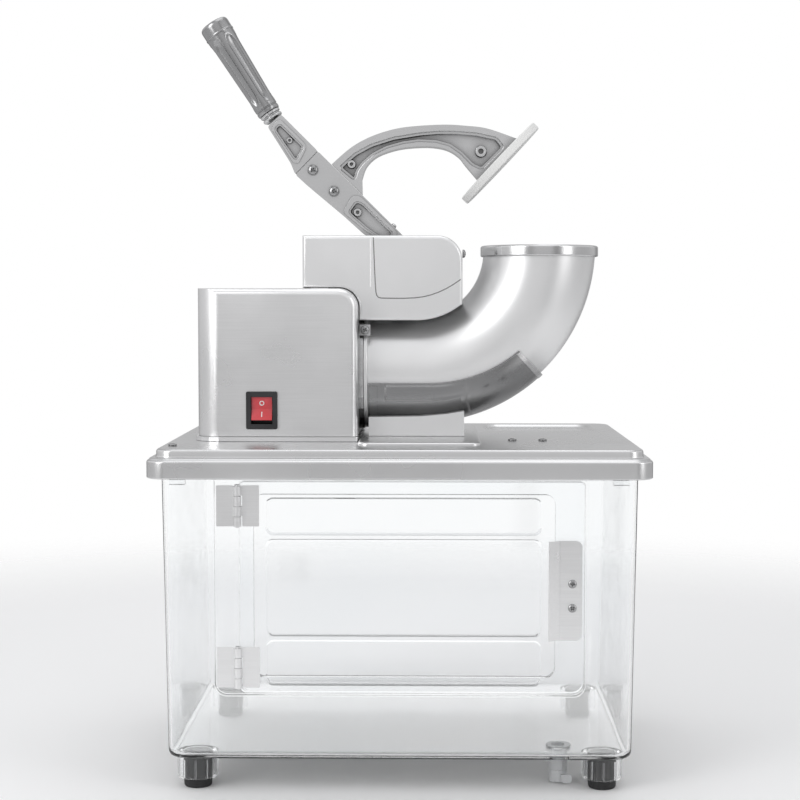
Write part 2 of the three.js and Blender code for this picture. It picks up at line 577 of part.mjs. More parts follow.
function makeChamber() {
  const drum = rodX(CHAMBER.l, CHAMBER.r, 0, AXIS_Z, CHAMBER.outer, 28);
  const hollow = rodX(CHAMBER.l + 4, CHAMBER.r + 1, 0, AXIS_Z, CHAMBER.inner, 28);
  const duct = block(CHUTE.l, CHUTE.r, -CHUTE.half, CHUTE.half, LID_TOP - 12, AXIS_Z - 30);
  const ductHollow = block(CHUTE.l + 2, CHUTE.r - 2, -CHUTE.half + 2, CHUTE.half - 2, LID_TOP - 15, AXIS_Z - 25);
  const shaftHole = rodX(CHAMBER.l - 1, CHAMBER.l + 5, 0, AXIS_Z, SHAFT_R + 0.6, 16);
  const lugRoot = block(HOUSING_R + 0.9, CHAMBER.r, -44, -36, 360, 369);
  const lugTip = block(HOUSING_R + 0.9, -25.5, -44, -40.9, 360, 369);
  return cutBy(joined(drum, duct, lugRoot, lugTip), hollow, ductHollow, shaftHole);
}
addPart("cutter_chamber", makeChamber(), "cast_metal");

// Feed tube: the bent pipe, its rolled mouth rim and a flange that closes on the cutter chamber.
const RIM = { low: 426, high: 435.3, outer: 50, lip: 46.2 };
const tubeOutside = tubeCore(0, 3, CHAMBER.r + GAP);
const tubeInside = tubeCore(-TUBE_WALL, 20, CHAMBER.r - 10);
const tubeFlange = rodX(CHAMBER.r + GAP, CHAMBER.r + 3.5, 0, AXIS_Z, CHAMBER.outer - 1, 28);
addPart("elbow_tube", cutBy(joined(tubeOutside, tubeFlange), tubeInside), "satin_silver");
const rimProfile = [
  [MOUTH_R + 0.9, RIM.low], [RIM.outer - 0.5, RIM.low], [RIM.outer, RIM.low + 0.8], [RIM.outer, RIM.high - 1],
  [RIM.outer - 1, RIM.high], [RIM.lip + 0.4, RIM.high], [RIM.lip, RIM.high - 0.5], [RIM.lip, PIVOT_Z + 3 + GAP],
  [MOUTH_R + 0.9, PIVOT_Z + 3 + GAP], [MOUTH_R + 0.9, RIM.low]];
addPart("mouth_rim", turned(rimProfile, PIVOT_X + MOUTH_BEND_R, 0, 0, 32), "cast_metal");

// Cradle: a dark half shell under the tube, open above a line that follows the bend, and the block it stands on.
const CRADLE = { end: THREE.MathUtils.degToRad(44.5), level: 320, arcX: 24, thick: 1.6 };
const cradleArcR = 116.5;
const cradleOuter = tubeCore(GAP + CRADLE.thick, 0, CHAMBER.r + 4, CRADLE.end);
const cradleInner = tubeCore(GAP, 0, CHAMBER.r - 10, CRADLE.end - 0.06);
const cradleOpen = joined(
  rodY(-80, 80, CRADLE.arcX, CRADLE.level + cradleArcR, cradleArcR, 96),
  block(-60, CRADLE.arcX, -80, 80, CRADLE.level, CRADLE.level + 120),
);
addPart("elbow_cradle", cutBy(cradleOuter, cradleInner, cradleOpen), "dark_steel");

const blockTop = outline([
  [-27, PAD_TOP + GAP], [52.5, PAD_TOP + GAP], [52.5, 297], [38, 294.6], [16, 292.6], [-27, 292]]);
const blockHollow = block(-24, 49.5, -41, 41, PAD_TOP - 1, 282);
addPart("cradle_block",
  cutBy(crosswise(blockTop, -44, 44), blockHollow, tubeCore(2 * GAP + CRADLE.thick, 0, -60, 0.4)), "satin_silver");

// Lever pivot: a fixed shaft across a bracket that stands on the cutter chamber.
const PIN_R = 6;
const HUB_R = 11.5;
const bracketLow = AXIS_Z + CHAMBER.outer + GAP;

function makeBracket() {
  const cheekShape = outline([
    [BRACKET.l, bracketLow], [BRACKET.r, bracketLow], [PIVOT_X + 4, PIVOT_Z - HUB_R - 1],
    [PIVOT_X + 12, PIVOT_Z - 5], [PIVOT_X + 12, PIVOT_Z + 6], [PIVOT_X, PIVOT_Z + 9], [BRACKET.l, PIVOT_Z - 14]]);
  const web = crosswise(cheekShape, -BRACKET.outer, BRACKET.outer);
  const between = block(BRACKET.l + 3, 60, -BRACKET.inner, BRACKET.inner, bracketLow + 3, 460);
  return cutBy(web, between, rodY(-30, 30, PIVOT_X, PIVOT_Z, PIN_R + 0.35, 16));
}
addPart("pivot_bracket", makeBracket(), "motor_steel");
addPart("lever_pin",
  joined(rodY(-BRACKET.outer - 3, BRACKET.outer + 3, PIVOT_X, PIVOT_Z, PIN_R, 24),
    rodY(-BRACKET.outer - 4.5, -BRACKET.outer - GAP, PIVOT_X, PIVOT_Z, 8.5, 16)), "blade_steel");

// Arm cover: an inverted sheet box over the bracket, with a slot for the lever in its top. Its sides follow the
// housing's corner and hang lower to the right of it.
const SLOT = { l: -40, r: 33, half: ARM_HALF + 2.5 };

function coverOutline(inset) {
  const l = COVER_L + inset;
  const r = COVER_R - inset;
  const top = COVER_TOP - inset;
  const curve = COVER_CURVE - inset;
  const drop = inset ? 8 : 0;
  const stepR = HOUSING_CORNER + GAP - drop;
  const arcR = COVER_BOTTOM_R + drop;
  const startAngle = Math.asin((r - PIVOT_X) / arcR);
  const shape = new THREE.Shape();
  shape.moveTo(l, top);
  shape.lineTo(l, HOUSING_TOP + GAP - drop);
  shape.absarc(HOUSING_R - HOUSING_CORNER, HOUSING_TOP - HOUSING_CORNER, stepR, Math.PI / 2, 0, true);
  shape.lineTo(HOUSING_R + GAP - drop, PIVOT_Z - arcR);
  shape.lineTo(PIVOT_X, PIVOT_Z - arcR);
  shape.absarc(PIVOT_X, PIVOT_Z, arcR, -Math.PI / 2, -Math.PI / 2 + startAngle, false);
  shape.lineTo(r, top - curve);
  shape.absarc(r - curve, top - curve, curve, 0, Math.PI / 2, false);
  return shape;
}

function makeCover() {
  const outside = easedCrosswise(coverOutline(0), -COVER_HALF, COVER_HALF, 2.5, 1, 3);
  const inside = crosswise(coverOutline(SHEET), -COVER_HALF + SHEET, COVER_HALF - SHEET, 3);
  const slot = block(SLOT.l, SLOT.r, -SLOT.half, SLOT.half, COVER_TOP - 10, COVER_TOP + 5);
  const clearTube = tubeCore(0.8, 0, -90);
  const clearChamber = rodX(-90, CHAMBER.r + 4, 0, AXIS_Z, CHAMBER.outer + 0.6, 28);
  return cutBy(outside, inside, slot, clearTube, clearChamber);
}
addPart("arm_cover", makeCover(), "satin_silver");

// Lever: a cast lower arm on the pivot, a neck, a collar and a fluted grip, all in the plane of the tube's bend.
const LEVER = {
  seamRight: [-71.3, 515.4],
  seamLeft: [-90.4, 495.7],
  neckRight: [-102.3, 546.2],
  neckLeft: [-113.6, 535.8],
  gripLow: [-112.8, 548.4],
  gripHigh: [-160.6, 623.6],
};
const armScrews = [[-75.3, 499.3], [-57.5, 481.4]];

// Moves a point [x, z] by a distance along the line towards another.
function towards([x0, z0], [x1, z1], distance) {
  const length = Math.hypot(x1 - x0, z1 - z0);
  return [x0 + ((x1 - x0) * distance) / length, z0 + ((z1 - z0) * distance) / length];
}

function makeLeverArm() {
  const seamR = towards(LEVER.seamRight, [-34.6, 479.2], GAP);
  const seamL = towards(LEVER.seamLeft, [-50, 461], GAP);
  const arm = outline([seamR, [-34.6, 479.2], [9, 436], [PIVOT_X - 7, PIVOT_Z - 10], [-33.3, 446], [-50.1, 461.2],
    [-82, 487.9], seamL]);
  const hub = rodY(-ARM_HALF, ARM_HALF, PIVOT_X, PIVOT_Z, HUB_R, 20);
  const pocket = outline([[-39.5, 474], [-33, 470.5], [-6, 444], [-14, 438.5], [-30, 449.5], [-46.5, 464]]);
  const pockets = [[-ARM_HALF - 1, -ARM_HALF + 3.5], [ARM_HALF - 3.5, ARM_HALF + 1]].map(([y0, y1]) =>
    crosswise(pocket, y0, y1));
  const bore = rodY(-30, 30, PIVOT_X, PIVOT_Z, PIN_R + 0.1, 24);
  const holes = armScrews.map(([x, z]) => rodY(-30, 30, x, z, 2, 12));
  return cutBy(joined(crosswise(arm, -ARM_HALF, ARM_HALF), hub), bore, ...pockets, ...holes);
}
addPart("lever_arm", makeLeverArm(), "cast_metal");

armScrews.forEach(([x, z], i) => {
  const head = rodY(-ARM_HALF - 2.2, -ARM_HALF - GAP, x, z, 3.6, 12);
  addPart(`arm_screw_${i + 1}`, joined(head, rodY(-ARM_HALF - 1, ARM_HALF - 1, x, z, 1.7, 12)), "stainless");
});

const neckShape = outline([LEVER.seamRight, LEVER.neckRight, LEVER.neckLeft, [-94, 504.9], LEVER.seamLeft]);
const neckPocket = outline([[-104.8, 538.5], [-82, 516.5], [-90.5, 506], [-108.2, 534]]);
addPart("lever_neck",
  cutBy(crosswise(neckShape, -ARM_HALF, ARM_HALF), crosswise(neckPocket, -ARM_HALF - 1, -ARM_HALF + 3.5),
    crosswise(neckPocket, ARM_HALF - 3.5, ARM_HALF + 1)), "cast_metal");

// A turned piece between two points of the lever's plane: its profile is [radius, distance along].
function alongLever(profile, from, to, sides, squash = 1) {
  const points = profile.map(([r, h]) => new THREE.Vector2(r, h));
  const lean = Math.atan2(to[0] - from[0], to[1] - from[1]);
  const geometry = new THREE.LatheGeometry(points, sides);
  geometry.rotateX(Math.PI / 2).scale(1, squash, 1).rotateY(lean).translate(from[0], 0, from[1]);
  return solid(geometry);
}

const gripLength = Math.hypot(LEVER.gripHigh[0] - LEVER.gripLow[0], LEVER.gripHigh[1] - LEVER.gripLow[1]);
const neckMiddle = [(LEVER.neckRight[0] + LEVER.neckLeft[0]) / 2, (LEVER.neckRight[1] + LEVER.neckLeft[1]) / 2];
const collarLength = Math.hypot(LEVER.gripLow[0] - neckMiddle[0], LEVER.gripLow[1] - neckMiddle[1]);
addPart("lever_collar",
  alongLever([[0, 2.4], [7.2, 2.4], [8.6, 4], [8.6, collarLength - GAP], [0, collarLength - GAP]],
    neckMiddle, LEVER.gripLow, 16), "cast_metal");
addPart("lever_grip",
  alongLever([[0, 0], [9.4, 0], [10, 1], [10.2, 12], [12.4, gripLength - 14], [12.6, gripLength - 2.5],
    [10.5, gripLength - 0.2], [0, gripLength]], LEVER.gripLow, LEVER.gripHigh, 20, 1.1), "grip_metal");

// Pusher: an arched arm from the lever to a nylon plate that sweeps round the bend inside the tube.
const rest = THREE.MathUtils.degToRad(REST_ANGLE);
const plateAxis = [-Math.sin(rest), Math.cos(rest)]; // across the plate, away from the mouth
const plateAlong = [Math.cos(rest), Math.sin(rest)];

// A point on the plate's back face at a radius from the pivot, standing off by a distance.
function onPlate(radius, off) {
  const away = PLATE_T / 2 + off;
  return [
    PIVOT_X + plateAlong[0] * radius + plateAxis[0] * away,
    PIVOT_Z + plateAlong[1] * radius + plateAxis[1] * away];
}

const PUSHER_HALF = 9;
const footRight = [-33.7, 478.9]; // ends of the foot that stands along the lever's upper edge
const footLeft = [-59.3, 504.2];

function makePusherArm() {
  const shape = new THREE.Shape();
  const go = ([x, z]) => new THREE.Vector2(x, z);
  shape.moveTo(...footRight);
  shape.lineTo(-34, 491.5);
  shape.splineThru([[-30.4, 501.7], [-23.3, 509.3], [-13.4, 514.2], [0.7, 517.8], [17.7, 519.1], [30.3, 518.4],
    [40.3, 515.6], [48.7, 510], [54.3, 503], onPlate(79, GAP)].map(go));
  shape.lineTo(...onPlate(126.5, GAP));
  shape.splineThru([[72.6, 533.9], [54.3, 536.3], [34.5, 537.3], [5, 535.5], [-13.4, 531.8], [-30.3, 525.5],
    [-44.4, 517.1], footLeft].map(go));
  return crosswise(new THREE.Shape(shape.getPoints(2)), -PUSHER_HALF, PUSHER_HALF);
}
addPart("pusher_arm", makePusherArm(), "cast_metal");

const plate = new THREE.CylinderGeometry(PLATE_R, PLATE_R, PLATE_T, 40);
plate.rotateX(Math.PI / 2).rotateY(-rest);
plate.translate(PIVOT_X + PUSH_R * Math.cos(rest), 0, PIVOT_Z + PUSH_R * Math.sin(rest));
addPart("pusher_plate", solid(plate), "white_nylon");

// Screws that show on the cover's right end and on the chamber's lug.
function screwX(name, x, y, z, r) {
  addPart(name, joined(rodX(x, x + 2, y, z, r, 12), rodX(x - 1, x + 0.5, y, z, r / 2, 12)), "stainless");
}
screwX("cover_screw", COVER_R + 1.2, -30, 428, 3.4);
addPart("clamp_screw_1", rodY(-46.8, -44.3, -30, 364.5, 3.4, 12), "stainless");

export default group;
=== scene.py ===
"""Shaved ice machine: the looks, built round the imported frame. Metres, +Z up, front towards -Y."""
import json
import math

import bmesh
import bpy
from mathutils import Matrix, Vector


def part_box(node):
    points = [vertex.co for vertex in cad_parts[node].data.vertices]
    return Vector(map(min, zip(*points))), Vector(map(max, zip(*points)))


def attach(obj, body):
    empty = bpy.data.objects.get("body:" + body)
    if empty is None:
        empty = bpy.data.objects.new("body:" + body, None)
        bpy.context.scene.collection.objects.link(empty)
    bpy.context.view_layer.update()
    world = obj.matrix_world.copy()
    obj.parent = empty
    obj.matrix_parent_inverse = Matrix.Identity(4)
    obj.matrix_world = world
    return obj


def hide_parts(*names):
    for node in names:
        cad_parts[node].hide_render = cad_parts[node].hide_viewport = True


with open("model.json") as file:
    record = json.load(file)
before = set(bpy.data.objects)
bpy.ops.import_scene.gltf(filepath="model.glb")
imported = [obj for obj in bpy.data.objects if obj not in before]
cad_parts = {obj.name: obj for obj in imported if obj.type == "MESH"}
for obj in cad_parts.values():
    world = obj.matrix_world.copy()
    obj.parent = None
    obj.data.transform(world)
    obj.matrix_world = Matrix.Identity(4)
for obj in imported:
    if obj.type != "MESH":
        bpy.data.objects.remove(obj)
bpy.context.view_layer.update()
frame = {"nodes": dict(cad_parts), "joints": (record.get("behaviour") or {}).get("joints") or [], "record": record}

MM = 0.001
SCENE = bpy.context.scene
NODES = frame["nodes"]
BODY_OF = {node: body for body, nodes in frame["record"]["behaviour"]["bodies"].items() for node in nodes}
SLOT_OF = {part["node"]: part["material_slot"] for part in frame["record"]["subparts"]}
JOINTS = {joint["name"]: joint for joint in frame["joints"]}

# ---------------------------------------------------------------- camera

CAMERA_AT = Vector((0.024, -1.470, 0.391))
CAMERA_DOWN = math.radians(3.40)
CAMERA_LEFT = math.radians(1.0)


def make_camera():
    data = bpy.data.cameras.new("camera")
    data.lens = 77.2
    data.sensor_width = 36.0
    data.clip_end = 50.0
    camera = bpy.data.objects.new("camera", data)
    camera.location = CAMERA_AT
    camera.rotation_euler = (math.radians(90) - CAMERA_DOWN, 0, CAMERA_LEFT)
    SCENE.collection.objects.link(camera)
    SCENE.camera = camera


# ---------------------------------------------------------------- light and floor

FRONT_DIM = 0.92
BACK_DIM = 0.55
# bands of the room's light, from below to overhead
HEIGHT_BANDS = ((0.40, 0.75), (0.47, 0.55), (0.52, 0.75), (0.60, 0.95), (0.75, 0.90))
# and its strips, from left to right
STRIPS = ((0.22, 1.0), (0.32, 0.6), (0.42, 1.0), (0.66, 1.0), (0.76, 0.5), (0.86, 1.0))
FLOOR_HALF = 1.6
FLOOR_FADE = (0.75, 1.45)    # distances from the object over which the floor becomes the surround


def add(tree, kind, inputs=None, **settings):
    """A shader node with its settings. An input is linked where a socket is given, and set otherwise."""
    node = tree.nodes.new("ShaderNode" + kind)
    for name, value in settings.items():
        setattr(node, name, value)
    for name, value in (inputs or {}).items():
        if isinstance(value, bpy.types.NodeSocket):
            tree.links.new(value, node.inputs[name])
        else:
            node.inputs[name].default_value = value
    return node


def map_range(tree, value, source, target=(0.0, 1.0), **settings):
    """The value carried over from one range to another."""
    limits = {"Value": value, "From Min": source[0], "From Max": source[1],
              "To Min": target[0], "To Max": target[1]}
    return add(tree, "MapRange", limits, **settings).outputs["Result"]


def ramp(tree, value, stops, interpolation="LINEAR"):
    """A colour ramp through (position, colour) stops, from low to high."""
    node = add(tree, "ValToRGB", {"Fac": value})
    node.color_ramp.interpolation = interpolation
    elements = node.color_ramp.elements
    first, *middle, last = stops
    for element, (position, colour) in zip(elements, (first, last)):
        element.position = position
        element.color = (*colour, 1)
    for position, colour in middle:
        elements.new(position).color = (*colour, 1)
    return node.outputs["Color"]


def area_light(name, at, look, size, power, colour=(1, 1, 1)):
    data = bpy.data.lights.new(name, "AREA")
    data.shape = "RECTANGLE"
    data.size, data.size_y = size
    data.energy = power
    data.color = colour
    light = bpy.data.objects.new(name, data)
    light.location = at
    light.rotation_euler = (Vector(look) - Vector(at)).to_track_quat("-Z", "Y").to_euler()
    SCENE.collection.objects.link(light)
    return light


def make_world():
    """White behind the object and through its clear parts; bands of grey for light and for reflections."""
    world = bpy.data.worlds.new("studio")
    SCENE.world = world
    world.use_nodes = True
    tree = world.node_tree
    tree.nodes.clear()
    way = add(tree, "SeparateXYZ", {0: add(tree, "TexCoord").outputs["Generated"]}).outputs
    # Grey near the horizon and below it, bright overhead, so metal shows soft bands.
    stops = [(position, (value, value, value * 1.01)) for position, value in HEIGHT_BANDS]
    stops = [(0.0, (0.55, 0.56, 0.57)), *stops, (1.0, (0.95, 0.96, 0.98))]
    bands = ramp(tree, map_range(tree, way["Z"], (-1.0, 1.0)), stops)
    # Dimmer towards the front and the back, with soft upright dark strips at the sides,
    # so that flat faces read darker than folds.
    stops = [(position, (value, value, value)) for position, value in ((0.0, 1.0), *STRIPS, (1.0, 0.8))]
    strips = ramp(tree, map_range(tree, way["X"], (-1.0, 1.0)), stops, "EASE")
    front = map_range(tree, way["Y"], (-0.98, -0.70), (FRONT_DIM, 1.0), interpolation_type="SMOOTHSTEP")
    rear = map_range(tree, way["Y"], (0.55, 0.95), (1.0, BACK_DIM), interpolation_type="SMOOTHSTEP")
    shade = add(tree, "Math", {0: front, 1: rear}, operation="MULTIPLY")
    dim = add(tree, "VectorMath", {0: bands, "Scale": shade.outputs[0]}, operation="SCALE")
    both = add(tree, "VectorMath", {0: dim.outputs[0], 1: strips}, operation="MULTIPLY")
    lit = add(tree, "Background", {"Color": both.outputs[0], "Strength": 0.95})
    seen = add(tree, "Background", {"Color": (1, 1, 1, 1), "Strength": 1.0})
    path = add(tree, "LightPath").outputs
    rays = {0: path["Is Camera Ray"], 1: path["Is Transmission Ray"]}
    through = add(tree, "Math", rays, operation="MAXIMUM")
    mix = add(tree, "MixShader", {"Fac": through.outputs[0], 1: lit.outputs[0], 2: seen.outputs[0]})
    add(tree, "OutputWorld", {"Surface": mix.outputs[0]})


def floor_material():
    """Pale floor that clears away with distance, so that no edge or horizon shows behind the object."""
    material = bpy.data.materials.new("floor")
    material.use_nodes = True
    tree = material.node_tree
    shader = tree.nodes["Principled BSDF"]
    shader.inputs["Base Color"].default_value = (0.9, 0.9, 0.9, 1)
    shader.inputs["Roughness"].default_value = 0.6
    reach = add(tree, "VectorMath", {0: add(tree, "TexCoord").outputs["Object"]}, operation="LENGTH")
    fade = map_range(tree, reach.outputs["Value"], FLOOR_FADE, (1.0, 0.0), interpolation_type="SMOOTHSTEP")
    tree.links.new(fade, shader.inputs["Alpha"])
    return material


def make_studio():
    make_world()
    area_light("key", (-1.3, -1.4, 1.1), (0, 0, 0.3), (0.9, 1.6), 13)
    area_light("fill", (1.7, -1.2, 1.0), (0, 0, 0.3), (0.7, 1.8), 6)
    area_light("top", (0.1, 0.1, 2.1), (0, 0, 0.3), (1.8, 1.4), 6)
    area_light("back", (0.2, 2.0, 0.9), (0, 0, 0.25), (2.6, 1.4), 1.5)
    mesh = bpy.data.meshes.new("floor")
    corners = [(FLOOR_HALF * x, FLOOR_HALF * y, 0) for x, y in ((-1, -1), (1, -1), (1, 1), (-1, 1))]
    mesh.from_pydata(corners, [], [range(4)])
    floor = bpy.data.objects.new("floor", mesh)
    SCENE.collection.objects.link(floor)
    floor.data.materials.append(floor_material())
    SCENE.view_settings.view_transform = "Standard"
    SCENE.view_settings.exposure = 0.0


# ---------------------------------------------------------------- materials


class Shade:
    """A node material in the making: one Principled shader and helpers for its textures."""

    def __init__(self, name, colour, roughness, metallic=0.0):
        self.material = bpy.data.materials.new(name)
        self.material.use_nodes = True
        self.tree = self.material.node_tree
        self.shader = self.tree.nodes["Principled BSDF"]
        self.value("Base Color", (*colour, 1))
        self.value("Roughness", roughness)
        self.value("Metallic", metallic)
        self.place = add(self.tree, "TexCoord").outputs["Object"]

    def value(self, name, value):
        self.shader.inputs[name].default_value = value

    def noise(self, scale, stretch=(1, 1, 1), detail=3.0):
        mapping = add(self.tree, "Mapping", {"Vector": self.place, "Scale": stretch})
        settings = {"Vector": mapping.outputs["Vector"], "Scale": scale, "Detail": detail, "Roughness": 0.55}
        return add(self.tree, "TexNoise", settings).outputs["Fac"]

    def tint(self, value, dark, light):
        """Colour that runs from dark to light with the value."""
        colour = ramp(self.tree, value, ((0.3, dark), (0.7, light)))
        self.tree.links.new(colour, self.shader.inputs["Base Color"])

    def recess(self, darkest):
        """Painted shade: darkens the colour in hollows and along inner corners, as ambient occlusion finds them.
        """
        hidden = add(self.tree, "AmbientOcclusion", {"Distance": 0.009}, samples=6)
        depth = map_range(self.tree, hidden.outputs["AO"], (0.35, 0.95), (darkest, 1.0))
        socket = self.shader.inputs["Base Color"]
        colour = socket.links[0].from_socket
        mix = add(self.tree, "VectorMath", {0: colour, "Scale": depth}, operation="SCALE")
        self.tree.links.new(mix.outputs[0], socket)

    def rough(self, value, low, high):
        mapped = map_range(self.tree, value, (0.3, 0.7), (low, high))
        self.tree.links.new(mapped, self.shader.inputs["Roughness"])

    def bump(self, value, strength, distance):
        node = add(self.tree, "Bump", {"Height": value, "Strength": strength, "Distance": distance})
        self.tree.links.new(node.outputs["Normal"], self.shader.inputs["Normal"])


def shade_range(value, swing):
    """Two greys a little below and above a value, faintly cool."""
    low, high = value - swing, value + swing
    return (low, low, value - swing * 0.9), (high, high, value + swing * 1.1)


def brushed(name, value, rough, grain, swing=0.02):
    """Brushed sheet: long fine grain along one axis, faint cloudy wear and fingerprints."""
    shade = Shade(name, (value, value, value), rough, 1.0)
    lines = shade.noise(900, grain, 4)
    clouds = shade.noise(14, detail=4)
    shade.tint(lines, *shade_range(value, swing))
    shade.rough(clouds, rough - 0.05, rough + 0.06)
    shade.bump(lines, 0.16, 0.00008)
    shade.value("Anisotropic", 0.45)
    return shade.material


def satin(name, value, rough, swing=0.015, grit=2600, height=0.00004, recess_shade=0.0, metal=1.0):
    """Smooth blasted or polished metal: very fine grit, slow colour change and, when asked for, painted shade that
    darkens its recesses.
    """
    shade = Shade(name, (value, value, value), rough, metal)
    fine = shade.noise(grit, detail=2)
    slow = shade.noise(11, detail=3)
    shade.tint(slow, *shade_range(value, swing))
    shade.rough(slow, rough - 0.035, rough + 0.05)
    shade.bump(fine, 0.12, height)
    # Painted shade: recesses darkened through ambient occlusion.
    if recess_shade:
        shade.recess(recess_shade)
    return shade.material


def clear_plastic():
    """Clear moulded plastic: slight waviness and faint scuffs in the gloss."""
    shade = Shade("clear_plastic", (0.985, 0.992, 0.995), 0.03)
    shade.value("Transmission Weight", 1.0)
    shade.value("IOR", 1.46)
    scuffs = shade.noise(60, detail=5)
    shade.rough(scuffs, 0.01, 0.07)
    shade.tint(shade.noise(7), (0.975, 0.985, 0.99), (0.995, 0.998, 1.0))
    shade.bump(shade.noise(9, detail=1), 0.05, 0.0006)
    return shade.material


def milky_plastic():
    """Cloudy plastic that lets some light through."""
    shade = Shade("milky_plastic", (0.86, 0.87, 0.88), 0.35)
    shade.value("Transmission Weight", 0.45)
    shade.value("IOR", 1.5)
    cloud = shade.noise(90, detail=4)
    shade.tint(cloud, (0.80, 0.81, 0.82), (0.90, 0.91, 0.92))
    shade.rough(cloud, 0.28, 0.42)
    shade.bump(shade.noise(700), 0.1, 0.0001)
    return shade.material


def moulded(name, colour, rough, speck=0.012, height=0.00012, coat=0.0):
    """Moulded plastic or rubber: fine spark-eroded grain and slight colour change."""
    shade = Shade(name, colour, rough)
    slow = shade.noise(30, detail=4)
    dark = tuple(max(channel - speck, 0.0) for channel in colour)
    light = tuple(min(channel + speck, 1.0) for channel in colour)
    shade.tint(slow, dark, light)
    shade.rough(slow, rough - 0.05, rough + 0.07)
    shade.bump(shade.noise(1500, detail=2), 0.25, height)
    shade.value("Coat Weight", coat)
    return shade.material


def make_materials():
    return {
        "clear_plastic": clear_plastic(),
        "milky_plastic": milky_plastic(),
        "lid_metal": satin("lid_metal", 0.66, 0.28, 0.02),
        "stainless": brushed("stainless", 0.80, 0.30, (0.02, 1, 1)),
        "satin_silver": satin("satin_silver", 0.80, 0.36, metal=0.82),
        "dark_steel": satin("dark_steel", 0.34, 0.17, 0.012, 2600, 0.00002),
        # The last number of cast_metal and grip_metal darkens their hollows: painted shade.
        "cast_metal": satin("cast_metal", 0.66, 0.20, 0.03, 700, 0.0002, 0.25),
        "grip_metal": satin("grip_metal", 0.36, 0.22, 0.03, 900, 0.0001, 0.4),
        "motor_steel": brushed("motor_steel", 0.34, 0.42, (1, 0.03, 0.03), 0.04),
        "blade_steel": brushed("blade_steel", 0.66, 0.22, (1, 0.05, 1)),
        "white_nylon": moulded("white_nylon", (0.74, 0.74, 0.73), 0.5, 0.01, 0.00003),
        "black_plastic": moulded("black_plastic", (0.018, 0.018, 0.02), 0.36, 0.006),
        "red_plastic": moulded("red_plastic", (0.56, 0.012, 0.03), 0.16, 0.05, 0.00003, 0.6),
        "rubber": moulded("rubber", (0.016, 0.016, 0.017), 0.66, 0.006, 0.0003),
        "copper": satin("copper_winding", 0.45, 0.35),
    }


# ---------------------------------------------------------------- surfaces and CAD nodes that stay


def surface(piece, slot, angle):
    """Material and smooth shading, with sharp edges above an angle in degrees."""
    piece.data.materials.clear()
    piece.data.materials.append(MATERIALS[slot])
    piece.data.shade_smooth()
    piece.data.set_sharp_from_angle(angle=math.radians(angle))


def ease_edges(piece, width, angle, segments):
    """A bevel along the edges above an angle in degrees."""
    ease = piece.modifiers.new("edges", "BEVEL")
    ease.width = width
    ease.segments = segments
    ease.limit_method = "ANGLE"
    ease.angle_limit = math.radians(angle)
    ease.harden_normals = True


def dress_node(name):
    """A carried-over CAD node keeps its vertices and gains a material, eased edges and smooth shading."""
    node = NODES[name]
    surface(node, SLOT_OF[name], 32)
    flat = node.modifiers.new("flats", "DECIMATE")
    flat.decimate_type = "DISSOLVE"
    flat.angle_limit = math.radians(0.6)
    ease_edges(node, 0.3 * MM, 32, 2)


MATERIALS = make_materials()
make_camera()
make_studio()
for node_name in NODES:
    dress_node(node_name)


# ---------------------------------------------------------------- mesh helpers


def piece_from(name, bm, nodes, width=0.35 * MM, angle=32, segments=3, finish=None):
    """Makes an object from bm, which rides with and replaces the CAD nodes given."""
    return finish_piece(loose_piece(name, bm), nodes, width, angle, segments, finish)


def loose_piece(name, bm):
    bmesh.ops.recalc_face_normals(bm, faces=bm.faces)
    mesh = bpy.data.meshes.new(name)
    bm.to_mesh(mesh)
    bm.free()
    piece = bpy.data.objects.new(name, mesh)
    SCENE.collection.objects.link(piece)
    return piece


def is_level(face):
    return abs(face.normal.z) > 0.99999


def crisp_levels(mesh):
    """Sharp edges round the level faces of a mesh, so that each level shades as one plane."""
    bm = bmesh.new()
    bm.from_mesh(mesh)
    for edge in bm.edges:
        level = [is_level(face) for face in edge.link_faces]
        if any(level) and not all(level):
            edge.smooth = False
    bm.to_mesh(mesh)
    bm.free()


def finish_piece(piece, nodes, width=0.35 * MM, angle=32, segments=3, slot=None, levels_crisp=False):
    """Material, eased edges, smooth shading, and the CAD body that the piece rides on."""
    slot = slot or SLOT_OF[nodes[0]]
    surface(piece, slot, angle)
    if levels_crisp:
        crisp_levels(piece.data)
    if width:
        ease_edges(piece, width, angle, segments)
    even = piece.modifiers.new("flats", "WEIGHTED_NORMAL")
    even.weight = 100
    even.keep_sharp = True
    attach(piece, BODY_OF[nodes[0]])
    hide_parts(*nodes)
    return piece


def arc(centre, radius, start, end, count):
    """Points of an arc in a plane, angles in degrees."""
    angles = [math.radians(start + (end - start) * i / count) for i in range(count + 1)]
    return [(centre[0] + radius * math.cos(a), centre[1] + radius * math.sin(a)) for a in angles]


def rounded(x0, x1, y0, y1, radii, count=8):
    """Rounded rectangle; radii run anticlockwise from the low corner."""
    a, b, c, d = radii if isinstance(radii, (list, tuple)) else (radii,) * 4
    corners = (((x0 + a, y0 + a), a, 180), ((x1 - b, y0 + b), b, 270),
               ((x1 - c, y1 - c), c, 0), ((x0 + d, y1 - d), d, 90))
    points = []
    for centre, radius, start in corners:
        if radius > 0:
            points += arc(centre, radius, start, start + 90, count)
        else:
            points.append(centre)
    return points


def soft_corners(points, radius, count=5):
    """The outline with each corner turned into a curve that starts radius before it."""
    out = []
    total = len(points)
    for i, point in enumerate(points):
        here = Vector(point)
        before = Vector(points[i - 1]) - here
        after = Vector(points[(i + 1) % total]) - here
        reach = min(radius, before.length * 0.45, after.length * 0.45)
        start = here + before.normalized() * reach
        end = here + after.normalized() * reach
        for step in range(count + 1):
            t = step / count
            curve = start * (1 - t) ** 2 + here * 2 * t * (1 - t) + end * t ** 2
            out.append((curve.x, curve.y))
    return out


